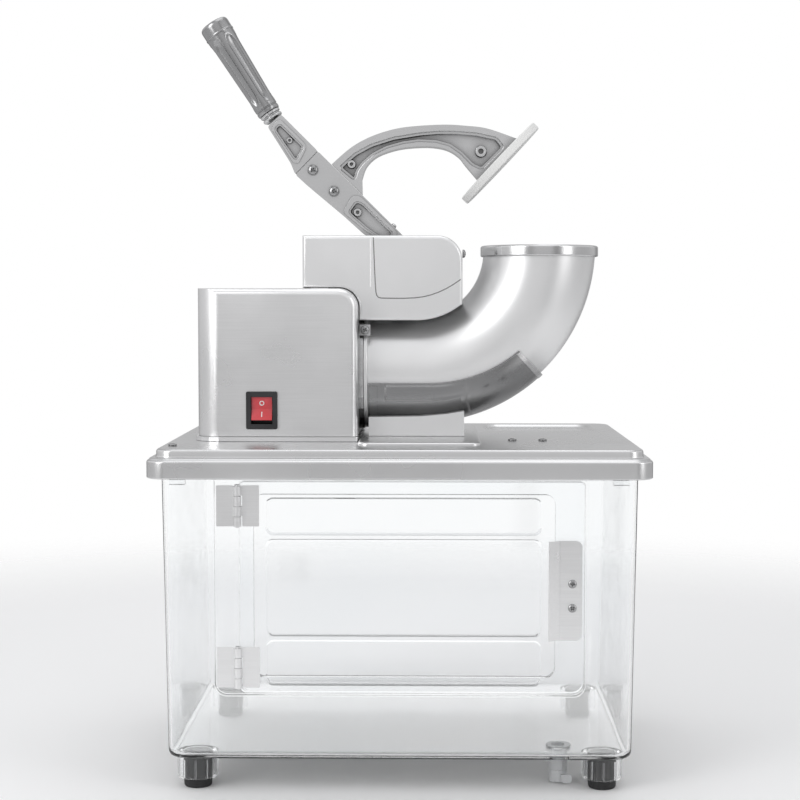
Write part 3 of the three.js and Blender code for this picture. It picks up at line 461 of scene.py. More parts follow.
def prism(points, low, high, plane="XZ"):
    """A straight prism in millimetres: XZ outlines run along Y, and XY outlines along Z."""
    bm = bmesh.new()
    rings = []
    for w in (low, high):
        places = [(u, w, v) if plane == "XZ" else (u, v, w) for u, v in points]
        rings.append([bm.verts.new((x * MM, y * MM, z * MM)) for x, y, z in places])
    for ring in rings:
        bm.faces.new(ring)
    count = len(points)
    for i in range(count):
        j = (i + 1) % count
        bm.faces.new((rings[0][i], rings[0][j], rings[1][j], rings[1][i]))
    return bm


def loft(loops, closed=True):
    """Closed skin through loops of equal length, millimetres, with flat caps at the first and last."""
    bm = bmesh.new()
    rings = [[bm.verts.new((x * MM, y * MM, z * MM)) for x, y, z in loop] for loop in loops]
    count = len(rings[0])
    for low, high in zip(rings, rings[1:]):
        for i in range(count):
            j = (i + 1) % count
            bm.faces.new((low[i], low[j], high[j], high[i]))
    if closed:
        bm.faces.new(rings[0])
        bm.faces.new(rings[-1])
    else:
        for i in range(count):
            j = (i + 1) % count
            bm.faces.new((rings[-1][i], rings[-1][j], rings[0][j], rings[0][i]))
    return bm


def revolve(profile, origin, direction, sides=64, squash=1.0):
    """A closed turned body: profile is [(radius, distance along)], from axis to axis or a closed ring."""
    axis = Vector(direction).normalized()
    across = axis.cross(Vector((0, 1, 0)))
    across = across.normalized() if across.length > 0.1 else Vector((1, 0, 0))
    third = axis.cross(across)
    ring_shaped = profile[0][0] > 0
    bm = bmesh.new()
    rings = []
    for radius, along in profile:
        centre = Vector(origin) + axis * along
        if radius <= 0:
            rings.append([bm.verts.new(centre * MM)])
            continue
        ring = []
        for i in range(sides):
            turn = 2 * math.pi * i / sides
            offset = across * math.cos(turn) * radius + third * math.sin(turn) * radius * squash
            ring.append(bm.verts.new((centre + offset) * MM))
        rings.append(ring)
    pairs = list(zip(rings, rings[1:]))
    if ring_shaped:
        pairs.append((rings[-1], rings[0]))
    for low, high in pairs:
        for i in range(sides):
            j = (i + 1) % sides
            if len(low) == 1 and len(high) == 1:
                continue
            if len(low) == 1:
                bm.faces.new((low[0], high[i], high[j]))
            elif len(high) == 1:
                bm.faces.new((low[i], low[j], high[0]))
            else:
                bm.faces.new((low[i], low[j], high[j], high[i]))
    return bm


def split_through(piece, places):
    """Cuts faces along lines through the places in plan, so that no hole made there lies inside one face."""
    bm = bmesh.new()
    bm.from_mesh(piece.data)
    for place in places:
        for way in ((1, 0, 0), (0, 1, 0)):
            geometry = bm.verts[:] + bm.edges[:] + bm.faces[:]
            bmesh.ops.bisect_plane(bm, geom=geometry, plane_co=Vector((*place, 0)) * MM, plane_no=way)
    bm.to_mesh(piece.data)
    bm.free()
    return piece


def carve(target, tools, operation="DIFFERENCE"):
    """Cuts the tools from the target, or joins them to it, and throws the tools away."""
    for cutter in tools:
        change = target.modifiers.new("carve", "BOOLEAN")
        change.solver = "MANIFOLD"
        change.operation = operation
        change.object = cutter
    bpy.context.view_layer.update()
    graph = bpy.context.evaluated_depsgraph_get()
    mesh = bpy.data.meshes.new_from_object(target.evaluated_get(graph))
    target.modifiers.clear()
    old = target.data
    target.data = mesh
    bpy.data.meshes.remove(old)
    for cutter in tools:
        bpy.data.objects.remove(cutter)
    bm = bmesh.new()
    bm.from_mesh(target.data)
    bmesh.ops.remove_doubles(bm, verts=bm.verts, dist=0.00001)
    bm.normal_update()
    merged = [edge for edge in bm.edges if not all(is_level(face) for face in edge.link_faces)]
    bmesh.ops.dissolve_limit(bm, angle_limit=math.radians(0.3), verts=bm.verts, edges=merged)
    bm.to_mesh(target.data)
    bm.free()
    return target


def tool(bm):
    """A body to cut with, to join on, or to be cut and then finished."""
    return loose_piece("tool", bm)


# ---------------------------------------------------------------- feed tube, rim and cradle

PIVOT = Vector(JOINTS["lever_pivot"]["pos_m"]) / MM
AXIS_Z = JOINTS["shaft_spin"]["pos_m"][2] / MM
MOUTH_BEND = 104.0
FOOT_BEND = PIVOT.z - AXIS_Z
MOUTH_R = 47.5
LEVEL_R = 44.0
WALL = 1.5
TUBE_SIDES = 112
BEND_RINGS = 60


def tube_ring(angle):
    """Centre, outward direction and outer radius of the tube at an angle below the mouth."""
    share = min(max(angle / (math.pi / 2), 0), 1)
    reach = MOUTH_BEND + (FOOT_BEND - MOUTH_BEND) * share
    outward = Vector((math.cos(angle), 0, -math.sin(angle)))
    centre = Vector((PIVOT.x, 0, PIVOT.z)) + outward * reach
    return centre, outward, MOUTH_R + (LEVEL_R - MOUTH_R) * share


def around(station, turn, reach):
    """The point at a distance from the tube's centre line and a turn round it."""
    centre, outward, _ = station
    return centre + outward * math.cos(turn) * reach + Vector((0, math.sin(turn) * reach, 0))


def tube_stations(end_x, start=0.0, above=0.0, level_steps=4):
    stations = []
    if above:
        centre, outward, radius = tube_ring(0)
        stations.append((centre + Vector((0, 0, above)), outward, radius))
    for i in range(BEND_RINGS + 1):
        stations.append(tube_ring(start + (math.pi / 2 - start) * i / BEND_RINGS))
    centre, outward, radius = stations[-1]
    for i in range(1, level_steps + 1):
        x = PIVOT.x + (end_x - PIVOT.x) * i / level_steps
        stations.append((Vector((x, 0, centre.z)), outward, radius))
    return stations


def section(station, extra):
    loop = []
    for i in range(TUBE_SIDES):
        turn = 2 * math.pi * i / TUBE_SIDES
        loop.append(tuple(around(station, turn, station[2] + extra)))
    return loop


def make_elbow():
    end_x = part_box("elbow_tube")[0].x / MM
    stations = tube_stations(end_x, above=3.0)
    outer = [section(station, 0) for station in stations]
    inner = [section(station, -WALL) for station in reversed(stations)]
    bm = loft(outer + inner, closed=False)
    piece_from("elbow_tube_fine", bm, ["elbow_tube"], width=0, angle=40)
    profile = [(44.4, 0.0), (50.0, 0.0), (50.0, 2.6), (49.4, 3.2), (44.4, 3.2)]
    flange = revolve(profile, (end_x, 0, AXIS_Z), (1, 0, 0), 96)
    piece_from("elbow_flange", flange, ["elbow_tube"], width=0.3 * MM)


def make_rim():
    low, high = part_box("mouth_rim")
    centre = ((low.x + high.x) / 2 / MM, 0, low.z / MM)
    height = (high.z - low.z) / MM
    outer = (high.x - low.x) / 2 / MM
    roll = arc((outer - 1.2, 1.2), 1.2, -90, 0, 6)
    crown = arc((outer - 2.0, height - 2.0), 2.0, 0, 90, 9)
    inner = [(46.8, height), (46.3, height - 0.5), (46.3, 8.3), (48.4, 8.3), (48.4, 0)]
    rim = revolve(roll + crown + inner, centre, (0, 0, 1), 128)
    piece_from("mouth_rim_fine", rim, ["mouth_rim"], width=0.2 * MM)


CRADLE_END = math.radians(44.5)
CRADLE_LEVEL = 320.0
CRADLE_ARC_X = 24.0
CRADLE_ARC_R = 116.5
CRADLE_COLUMNS = 112
PANEL_LEFT = -14.0            # of the pressed panel
PANEL_FADE = (26.0, 52.0)     # where it runs out to the right
PANEL_LOW = 304.5
PANEL_DEEP = 1.0
STRAP_START = 1.2             # from the cradle's left end
STRAP_WIDTH = 6.4
STRAP_TURN = math.radians(74)


def cradle_reach(station):
    """Half angle of the cradle round the tube at a station: its edge is a level line, then an arc."""
    centre, outward, radius = station
    grown = radius + 1.1
    if centre.x <= CRADLE_ARC_X:
        offset = centre.z - CRADLE_LEVEL
    else:
        middle = Vector((CRADLE_ARC_X, 0, CRADLE_LEVEL + CRADLE_ARC_R))
        away = centre - middle
        along = away.dot(outward)
        offset = -along + math.sqrt(max(along ** 2 - away.length_squared + CRADLE_ARC_R ** 2, 0))
    return math.acos(min(max(offset / grown, -1), 1))


def smooth(low, high, value):
    t = min(max((value - low) / (high - low), 0), 1)
    return t * t * (3 - 2 * t)


def panel_depth(centre, half, turn, radius):
    """How far the pressed panel sinks: crisp at its left and lower edges, fading out to the right."""
    along = smooth(PANEL_LEFT, PANEL_LEFT + 1.6, centre.x) * (1 - smooth(*PANEL_FADE, centre.x))
    low_turn = math.acos((AXIS_Z - PANEL_LOW) / (LEVEL_R + 1.95))
    from_low = (abs(turn) - low_turn) * radius
    from_top = (half - abs(turn)) * radius
    return PANEL_DEEP * along * smooth(0, 1.6, from_low) * smooth(1.2, 3.0, from_top)


def shell_patch(stations, inner, outer, half_at, dent=None, columns=CRADLE_COLUMNS):
    """A closed sheet round the underside of the tube, between two distances from its surface."""
    bm = bmesh.new()
    layers = []
    for raised, shaped in ((outer, True), (inner, False)):
        grid = []
        for station in stations:
            centre, _, radius = station
            half = half_at(station)
            row = []
            for i in range(columns + 1):
                turn = -half + 2 * half * i / columns
                reach = radius + raised - (dent(centre, half, turn, radius) if dent and shaped else 0)
                row.append(bm.verts.new(around(station, turn, reach) * MM))
            grid.append(row)
        layers.append(grid)
    top, under = layers
    for grid in layers:
        for a, b in zip(grid, grid[1:]):
            for i in range(columns):
                bm.faces.new((a[i], a[i + 1], b[i + 1], b[i]))
    for end in (0, -1):
        for i in range(columns):
            bm.faces.new((top[end][i], top[end][i + 1], under[end][i + 1], under[end][i]))
    for column in (0, columns):
        for row in range(len(stations) - 1):
            bm.faces.new((top[row][column], top[row + 1][column],
                          under[row + 1][column], under[row][column]))
    return bm


def make_cradle():
    """The polished half shell under the tube: a pressed panel, a bright end band and a strap at the left."""
    end_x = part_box("elbow_cradle")[0].x / MM
    stations = tube_stations(end_x, start=CRADLE_END, level_steps=64)
    body = shell_patch(stations, 0.35, 1.95, cradle_reach, panel_depth)
    piece_from("elbow_cradle_fine", body, ["elbow_cradle"], width=0.25 * MM, angle=28)
    ends = [tube_ring(CRADLE_END + math.radians(0.3 * i)) for i in range(7)]
    band = shell_patch(ends, 1.9, 2.5, lambda station: cradle_reach(station) - 0.01, columns=64)
    piece_from("cradle_end_band", band, ["elbow_cradle"], width=0.25 * MM, finish="cast_metal")
    strap_x = [end_x + STRAP_START + STRAP_WIDTH * i / 5 for i in range(6)]
    level = [(Vector((x, 0, AXIS_Z)), Vector((0, 0, -1)), LEVEL_R) for x in strap_x]
    strap = shell_patch(level, 1.9, 2.6, lambda station: STRAP_TURN, columns=64)
    piece_from("cradle_strap", strap, ["elbow_cradle"], width=0.2 * MM)


make_elbow()
make_rim()
make_cradle()

# ---------------------------------------------------------------- small shared parts


def offset_outline(points, distance):
    """The outline moved outwards by a distance, for an outline that runs either way round."""
    area = sum(a[0] * b[1] - b[0] * a[1] for a, b in zip(points, points[1:] + points[:1]))
    way = 1 if area > 0 else -1
    out = []
    total = len(points)
    for i, point in enumerate(points):
        here = Vector(point)
        first = (here - Vector(points[i - 1])).normalized()
        second = (Vector(points[(i + 1) % total]) - here).normalized()
        normal_a = Vector((first.y, -first.x)) * way
        normal_b = Vector((second.y, -second.x)) * way
        middle = (normal_a + normal_b).normalized()
        stretch = distance / max(middle.dot(normal_a), 0.5)
        moved = here + middle * stretch
        out.append((moved.x, moved.y))
    return out


def pocket(points, face, depth, draft=0.8):
    """A tool for a pocket with leaning walls, cut from the face at Y = face towards the other side."""
    away = -1 if depth > 0 else 1
    outer = offset_outline(points, draft * 0.25)
    inner = offset_outline(points, -draft)
    loops = [[(x, face + away * 1.0, z) for x, z in outer], [(x, face + depth, z) for x, z in inner]]
    return tool(loft(loops))


def both_faces(points, half, depth, draft=0.8):
    return [pocket(points, -half, depth, draft), pocket(points, half, -depth, draft)]


def spline(points, steps=8):
    """Even Catmull-Rom curve through the points."""
    out = []
    last = len(points) - 1
    for i in range(last):
        p0, p1, p2, p3 = (Vector(points[max(min(n, last), 0)]) for n in (i - 1, i, i + 1, i + 2))
        for step in range(steps):
            t = step / steps
            curve = 0.5 * (2 * p1 + (p2 - p0) * t + (2 * p0 - 5 * p1 + 4 * p2 - p3) * t ** 2
                           + (3 * p1 - p0 - 3 * p2 + p3) * t ** 3)
            out.append((curve.x, curve.y))
    out.append(tuple(points[-1]))
    return out


def dome_profile(radius, height):
    """A low dome on a short skirt, from the axis round to the axis."""
    skirt = height * 0.35
    quarter = arc((0, 0), 1.0, 0, 80, 8)
    crown = [(radius * across, skirt + (height - skirt) * up) for across, up in quarter]
    return [(0, 0), (radius * 0.97, 0), (radius, skirt * 0.3)] + crown + [(0, height)]


def screw(name, node, at, direction, radius, height, turn=20):
    """A domed screw head with a cross recess; direction points out of the head."""
    axis = Vector(direction).normalized()
    head = tool(revolve(dome_profile(radius, height), at, axis, 40))
    across = axis.orthogonal().normalized()
    across.rotate(Matrix.Rotation(math.radians(turn), 3, axis))
    top = Vector(at) + axis * height
    tools = []
    for quarter in (0, 90):
        along = across.copy()
        along.rotate(Matrix.Rotation(math.radians(quarter), 3, axis))
        side = axis.cross(along)
        loops = []
        for depth, length, width in ((0.4, 0.62, 0.17), (-height * 0.5, 0.3, 0.1)):
            centre = top + axis * depth
            loops.append([tuple(centre + along * u * radius * length + side * v * radius * width)
                          for u, v in ((-1, -1), (1, -1), (1, 1), (-1, 1))])
        tools.append(tool(loft(loops)))
    carve(head, tools)
    head.name = name
    finish_piece(head, [node], width=0.12 * MM, angle=30, segments=2, slot="grip_metal")


# ---------------------------------------------------------------- lever

ARM_HALF = 10.0
BEAD = 0.7
SEAM = 0.45
HUB_R = 11.5
PIN_BORE_R = 6.15
ARM_SCREWS = ((-75.3, 499.3), (-57.5, 481.4))
ARM_OUTLINE = [(-71.3, 515.4), (-34.6, 479.2), (9, 436), (6, 421), (-33.3, 446), (-50.1, 461.2),
               (-82, 487.9), (-90.4, 495.7)]
NECK_OUTLINE = [(-71.3, 515.4), (-102.3, 546.2), (-113.6, 535.8), (-94, 504.9), (-90.4, 495.7)]
ARM_RIDGE = [(-42.0, 477.8), (-35.4, 477.4), (-2.5, 445.5), (-14.0, 437.5), (-30.0, 447.5),
             (-48.6, 462.8), (-48.8, 466.0)]
ARM_POCKET = [(-38.4, 472.2), (-33.8, 470.6), (-7.6, 445.4), (-15.0, 440.8), (-29.0, 450.0), (-44.6, 463.8)]
NECK_RIDGE = [(-102.4, 541.6), (-80.0, 519.4), (-87.4, 504.9), (-91.8, 505.4), (-110.2, 534.0),
              (-106.6, 540.6)]
NECK_POCKET = [(-103.4, 537.6), (-83.6, 518.3), (-89.8, 508.0), (-107.2, 533.4)]
GRIP_LOW = Vector((-112.8, 0, 548.4))
GRIP_HIGH = Vector((-160.6, 0, 623.6))


def bossed(name, node, at, low, high, radius, bore):
    """A hollow round boss that stands on a pocket's floor, one on each face."""
    for side in (-1, 1):
        profile = [(bore, low + 0.1), (radius * 1.15, low), (radius, low + 0.8), (radius, high - 0.4),
                   (radius - 0.4, high), (bore + 0.3, high), (bore, high - 0.3)]
        body = revolve(profile, (at[0], 0, at[1]), (0, side, 0), 40)
        piece_from(name, body, [node], width=0.1 * MM)


def leaned(outline, ridge, pocket_points, extra=()):
    """A cast bar: flat faces, a raised bead round each pocket, and drafted pockets."""
    body = tool(prism(soft_corners(outline, 2.2, 4), -ARM_HALF + BEAD, ARM_HALF - BEAD))
    ring = tool(prism(soft_corners(ridge, 4.5, 6), -ARM_HALF, ARM_HALF))
    carve(body, [ring] + [tool(bm) for bm in extra], "UNION")
    inner = soft_corners(pocket_points, 2.6, 5)
    shelf = offset_outline(inner, 1.5)
    carve(body, both_faces(shelf, ARM_HALF, 0.9, 0.5) + both_faces(inner, ARM_HALF, 3.6, 1.0))
    return body


def make_lever():
    arm_points = list(ARM_OUTLINE)
    way = (Vector(ARM_OUTLINE[1]) - Vector(ARM_OUTLINE[0])).normalized()
    for end in (0, -1):
        arm_points[end] = tuple(Vector(ARM_OUTLINE[end]) + way * SEAM)
    pivot = (PIVOT.x, 0, PIVOT.z)
    profile = [(0, -ARM_HALF), (HUB_R - 0.3, -ARM_HALF), (HUB_R, -ARM_HALF + 0.3), (HUB_R, ARM_HALF - 0.3),
               (HUB_R - 0.3, ARM_HALF), (0, ARM_HALF)]
    hub = revolve(profile, pivot, (0, 1, 0), 64)
    profile = [(0, -6), (2.3, -6), (2.3, 1.6), (1.6, 2.6), (0, 2.9)]
    stud = revolve(profile, (-7.6, -4.5, 451.5), (0.69, 0, 0.72), 24)
    arm = leaned(arm_points, ARM_RIDGE, ARM_POCKET, (hub, stud))
    bore = revolve([(0, -14), (PIN_BORE_R, -14), (PIN_BORE_R, 14), (0, 14)], pivot, (0, 1, 0), 48)
    carve(arm, [tool(bore)])
    finish_piece(arm, ["lever_arm"], width=0.55 * MM, angle=34)
    neck = leaned(NECK_OUTLINE, NECK_RIDGE, NECK_POCKET)
    finish_piece(neck, ["lever_neck"], width=0.55 * MM, angle=34)
    bossed("arm_boss", "lever_arm", (-37.4, 463.6), 6.2, 9.6, 3.4, 1.5)
    bossed("neck_boss", "lever_neck", (-95.0, 524.4), 6.2, 9.0, 2.6, 1.1)
    for index, (x, z) in enumerate(ARM_SCREWS):
        node = f"arm_screw_{index + 1}"
        seat = (x, -ARM_HALF + BEAD, z)
        screw(node + "_fine", node, seat, (0, -1, 0), 3.9, 2.2, 12 + 25 * index)
        washer = revolve([(2.2, 0), (4.7, 0), (4.7, 0.35), (4.4, 0.6), (2.2, 0.6)], seat, (0, -1, 0), 40)
        piece_from("arm_washer", washer, [node], width=0.1 * MM, finish="grip_metal")


def make_collar():
    start = Vector((-107.95, 0, 541.0))
    length = (GRIP_LOW - start).length
    waist = [(0, 1.2), (7.0, 1.2), (7.6, 2.0), (8.3, 2.5), (8.9, 3.3), (8.9, 4.4), (8.3, 5.0), (7.9, 5.2),
             (7.9, 5.9), (8.3, 6.2), (9.1, 6.8), (9.1, length - 0.4), (8.8, length - 0.1), (0, length - 0.1)]
    collar = revolve(waist, start, GRIP_LOW - start, 72)
    piece_from("lever_collar_fine", collar, ["lever_collar"], width=0.15 * MM)


GRIP_SIDES = 144
GRIP_SQUASH = 1.08          # wider across than in the lever's plane
FLUTES = 6
FLUTE_HALF = math.radians(19)
FLUTE_DEPTH = 1.9
FLUTE_START = 9.0           # from the grip's lower end
FLUTE_STOP = 16.0           # from its upper end
FLUTE_EASE = 9.0            # the length over which a flute opens


def flute_spread(along, length):
    """How far the flutes have opened at a distance along the grip, from 0 to 1."""
    gap = min(along - FLUTE_START, length - FLUTE_STOP - along)
    return math.sqrt(1 - (1 - min(gap / FLUTE_EASE, 1)) ** 2) if gap > 0 else 0.0


def flute_dip(turn, spread):
    """The depth of the flute at a turn round the grip."""
    pitch = 2 * math.pi / FLUTES
    off = abs((turn + pitch / 2) % pitch - pitch / 2)
    width = FLUTE_HALF * spread
    return FLUTE_DEPTH * spread * math.sqrt(1 - (off / width) ** 2) if off < width else 0.0


def make_grip():
    """The fluted grip: a tapering bar with six grooves that run out before its ends, and a rounded cap."""
    axis = (GRIP_HIGH - GRIP_LOW).normalized()
    length = (GRIP_HIGH - GRIP_LOW).length
    across = axis.cross(Vector((0, 1, 0))).normalized()
    shape = [(0, 9.2), (0.4, 9.7), (1.2, 10.0), (3.2, 10.0), (3.7, 9.6), (4.4, 9.6), (4.9, 10.1)]
    taper = [(6 + (length - 18) * i / 54, 10.1 + 2.4 * i / 54) for i in range(55)]
    ends = [(length - 11.0, 12.6), (length - 4, 12.7), (length - 2.4, 12.5), (length - 1.2, 11.9),
            (length - 0.5, 11.0), (length - 0.2, 9.6)]
    loops = []
    for along, radius in shape + taper + ends:
        spread = flute_spread(along, length)
        loop = []
        for i in range(GRIP_SIDES):
            turn = 2 * math.pi * i / GRIP_SIDES
            reach = radius - flute_dip(turn, spread)
            point = GRIP_LOW + axis * along + across * math.cos(turn) * reach
            point += Vector((0, 1, 0)) * math.sin(turn) * reach * GRIP_SQUASH
            loop.append(tuple(point))
        loops.append(loop)
    piece_from("lever_grip_fine", loft(loops), ["lever_grip"], width=0, angle=38)
    profile = [(12.0, 0), (12.75, 0.2), (12.95, 0.8), (12.95, 1.4), (12.7, 2.0), (12.0, 2.2)]
    band = revolve(profile, GRIP_HIGH - axis * 12.2, axis, 96, GRIP_SQUASH)
    piece_from("grip_cap_band", band, ["lever_grip"], width=0)


# ---------------------------------------------------------------- pusher

PUSHER_HALF = 9.0
REST = math.radians(46.5)     # of the plate above the mouth
PLATE_REACH = 102.5
PLATE_T = 7.0
PLATE_R = 44.0
WEB = [(-51.0, 501.4), (-38.7, 512.3), (-25.2, 519.4), (-6.6, 525.2), (15.4, 528.7), (30.6, 530.0),
       (45.8, 530.0), (62.7, 528.6), (79.6, 525.0), (84.6, 518.5), (67.4, 501.2), (60.4, 504.3), (50.9, 514.0),
       (40.8, 521.0), (28.9, 524.2), (13.7, 524.9), (0.2, 523.0), (-13.3, 519.2), (-25.2, 513.2),
       (-33.7, 505.8), (-38.6, 499.2), (-40.4, 492.5)]


def on_plate(radius, off):
    along = Vector((math.cos(REST), math.sin(REST)))
    across = Vector((-math.sin(REST), math.cos(REST)))
    place = Vector((PIVOT.x, PIVOT.z)) + along * radius + across * (PLATE_T / 2 + off)
    return place.x, place.y


def make_pusher():
    inner = spline([(-34, 491.5), (-30.4, 501.7), (-23.3, 509.3), (-13.4, 514.2), (0.7, 517.8),
                    (17.7, 519.1), (30.3, 518.4), (40.3, 515.6), (48.7, 510), (54.3, 503), on_plate(79, 0.3)], 7)
    outer = spline([on_plate(126.5, 0.3), (72.6, 533.9), (54.3, 536.3), (34.5, 537.3), (5, 535.5),
                    (-13.4, 531.8), (-30.3, 525.5), (-44.4, 517.1), (-59.3, 504.2)], 7)
    outline = [(-33.7, 478.9)] + inner + outer
    body = tool(prism(outline, -PUSHER_HALF, PUSHER_HALF))
    web = soft_corners(WEB, 2.0, 4)
    step = offset_outline(web, 2.4)
    carve(body, both_faces(step, PUSHER_HALF, 1.5, 0.9))
    carve(body, both_faces(web, PUSHER_HALF, 5.6, 1.0))
    finish_piece(body, ["pusher_arm"], width=1.0 * MM, angle=36, segments=4)
    bossed("pusher_boss_l", "pusher_arm", (-42.6, 504.3), 3.3, 8.2, 3.4, 1.5)
    bossed("pusher_boss_r", "pusher_arm", (67.0, 515.0), 3.3, 8.6, 4.6, 2.2)
    along = Vector((math.cos(REST), 0, math.sin(REST)))
    across = Vector((-math.sin(REST), 0, math.cos(REST)))
    centre = Vector((PIVOT.x, 0, PIVOT.z)) + along * PLATE_REACH - across * PLATE_T / 2
    edge, crisp, hollow = PLATE_R - 1.0, PLATE_R - 0.3, PLATE_T - 0.7
    rim = [(0, 0), (edge, 0), (crisp, 0.3), (PLATE_R, 1.0), (PLATE_R, PLATE_T - 1.0), (crisp, PLATE_T - 0.3),
           (edge, PLATE_T), (PLATE_R - 6, PLATE_T), (PLATE_R - 6.6, hollow), (0, hollow)]
    piece_from("pusher_plate_fine", revolve(rim, centre, across, 112), ["pusher_plate"], width=0.15 * MM)
    profile = [(0, PLATE_T - 0.6), (22, PLATE_T - 0.6), (22, PLATE_T - 0.05), (0, PLATE_T - 0.05)]
    piece_from("pusher_plate_seat", revolve(profile, centre, across, 64), ["pusher_plate"], width=0.1 * MM)


make_lever()
make_collar()
make_grip()
make_pusher()

# ---------------------------------------------------------------- motor housing and arm cover

HOUSING_L, HOUSING_R, HOUSING_HALF, HOUSING_TOP = -168.0, -35.5, 70.0, 399.0
HOUSING_LOW = 277.7
HOUSING_CORNER = 16.0
HOUSING_FOLD = 20.0           # radius of its upright left corners
VENT_L, VENT_R, VENT_Z = -150, -90, 331.5
VENT_PITCH, VENT_HIGH = 9, 3
SHEET = 1.5
CHAMBER_OUTER = 51.0
CHAMBER_CLEAR = CHAMBER_OUTER + 0.6
SWITCH_X, SWITCH_Z = -113.6, 299.2
INLET_Z = 312


def box_tool(x0, x1, y0, y1, z0, z1):
    return tool(prism([(x0, z0), (x1, z0), (x1, z1), (x0, z1)], y0, y1))


def cylinder_tool(start, end, radius, sides=96):
    axis = Vector(end) - Vector(start)
    return tool(revolve([(0, 0), (radius, 0), (radius, axis.length), (0, axis.length)], start, axis, sides))


def eased_prism(points, low, high, ease, steps=7):
    """A prism along Y whose two faces roll over into its sides with a radius."""
    turns = [math.radians(90 * i / steps) for i in range(steps, -1, -1)]
    near = [(low + ease * (1 - math.sin(turn)), -ease * (1 - math.cos(turn))) for turn in turns]
    far = [(high - (y - low), inset) for y, inset in reversed(near)]
    skins = []
    for y, inset in near + far:
        outline = offset_outline(points, inset) if inset else points
        skins.append([(x, y, z) for x, z in outline])
    return loft(skins)


def housing_skin(inset):
    left, right = HOUSING_L + inset, HOUSING_R - inset
    top, half = HOUSING_TOP - inset, HOUSING_HALF - inset
    low = HOUSING_LOW - (5 if inset else 0)
    outline = rounded(left, right, low - 14, top, (0, 0, HOUSING_CORNER - inset, 0), 14)
    skin = tool(eased_prism(outline, -half, half, 5.5 - inset))
    fold = HOUSING_FOLD - inset
    plan = rounded(left, right, -half, half, (fold, 0.8, 0.8, fold), 16)
    return carve(skin, [tool(prism(plan, low, top, "XY"))], "INTERSECT")


def make_housing():
    body = housing_skin(0)
    cuts = [housing_skin(SHEET),
            box_tool(SWITCH_X - 11.4, SWITCH_X + 11.4, -75, -65, SWITCH_Z - 14, SWITCH_Z + 14),
            box_tool(HOUSING_L - 5, HOUSING_L + 5, -11.8, 11.8, INLET_Z - 8.3, INLET_Z + 8.3),
            cylinder_tool((HOUSING_R - 5, 0, AXIS_Z), (HOUSING_R + 5, 0, AXIS_Z), CHAMBER_CLEAR),
            box_tool(-63, HOUSING_R + 5, -19, 19, AXIS_Z + CHAMBER_OUTER - 5, HOUSING_TOP + 5)]
    for n in range(-2, 3):
        middle = VENT_Z + VENT_PITCH * n
        slot = rounded(VENT_L, VENT_R, middle - VENT_HIGH / 2, middle + VENT_HIGH / 2, 1.45, 5)
        cuts.append(tool(prism(slot, HOUSING_HALF - 5, HOUSING_HALF + 5)))
    carve(body, cuts)
    finish_piece(body, ["motor_housing"], width=0.25 * MM, angle=34)


COVER_L, COVER_R, COVER_HALF, COVER_TOP, COVER_CURVE = -82.0, 51.0, 43.0, 443.0, 21.0
COVER_LOW_R = 58.9
SLOT_L, SLOT_R, SLOT_HALF = -40, 33, 12.5     # for the lever
GROOVE = [(-23.0, 441.2), (-22.6, 430), (-22.0, 415), (-21.4, 403), (-20.9, 396), (-20.2, 393.2),
          (-18.8, 391.6), (-16.6, 391.0), (-8, 390.8), (2, 390.8), (11.5, 391.2), (18, 392.0), (24, 393.4),
          (31, 395.8), (37, 398.6), (43, 402.0), (49.4, 406.4)]


def cover_outline(inset):
    """The cover from the front. It steps over the housing, and its arc about the pivot clears the tube."""
    left, right, top = COVER_L + inset, COVER_R - inset, COVER_TOP - inset
    drop = 8.0 if inset else 0.0
    reach = COVER_LOW_R + drop
    corner = (HOUSING_R - HOUSING_CORNER, HOUSING_TOP - HOUSING_CORNER)
    step = arc(corner, HOUSING_CORNER + 0.3 - drop, 90, 0, 12)
    finish = math.degrees(math.asin((right - PIVOT.x) / reach))
    below = arc((PIVOT.x, PIVOT.z), reach, -90, -90 + finish, 14)
    curve = arc((right - COVER_CURVE + inset, top - COVER_CURVE + inset), COVER_CURVE - inset, 0, 90, 16)
    start = [(left, top), (left, HOUSING_TOP + 0.3 - drop)]
    return start + step + [(HOUSING_R + 0.3 - drop, PIVOT.z - reach)] + below + curve


def tube_body(extra, end_x):
    return tool(loft([section(station, extra) for station in tube_stations(end_x)]))


def ribbon(points, half):
    """The outline of a narrow band that follows a line."""
    left, right = [], []
    for i, point in enumerate(points):
        before, after = Vector(points[max(i - 1, 0)]), Vector(points[min(i + 1, len(points) - 1)])
        way = (after - before).normalized()
        here = Vector(point)
        left.append((here.x - way.y * half, here.y + way.x * half))
        right.append((here.x + way.y * half, here.y - way.x * half))
    return left + right[::-1]


def make_cover():
    body = tool(eased_prism(cover_outline(0), -COVER_HALF, COVER_HALF, 3.2, 6))
    inside = tool(prism(cover_outline(SHEET), -COVER_HALF + SHEET, COVER_HALF - SHEET))
    front = -COVER_HALF
    groove = tool(prism(ribbon(GROOVE, 0.45), front - 1, front + 0.9))
    slot = box_tool(SLOT_L, SLOT_R, -SLOT_HALF, SLOT_HALF, COVER_TOP - 10, COVER_TOP + 5)
    chamber = cylinder_tool((-90, 0, AXIS_Z), (-27, 0, AXIS_Z), CHAMBER_CLEAR)
    cuts = [inside, groove, slot, tube_body(0.8, -90), chamber]
    carve(body, cuts)
    finish_piece(body, ["arm_cover"], width=0.25 * MM, angle=34)
    # Painted shadow: a dark strip laid on the groove's floor stands for the shade inside the groove.
    gap = prism(ribbon(GROOVE, 0.40), front + 0.35, front + 0.85)
    piece_from("cover_groove_shadow", gap, ["arm_cover"], width=0, finish="dark_steel")
    ridge = revolve([(0, 0), (0.7, 0.6), (0.8, 40), (0, 41)], (-25.2, front + 0.3, 399.5), (0, 0, 1), 24)
    piece_from("cover_ridge", ridge, ["arm_cover"], width=0)
    screw("cover_screw_fine", "cover_screw", (COVER_R + 0.1, -30, 428), (1, 0, 0), 3.4, 2.8)


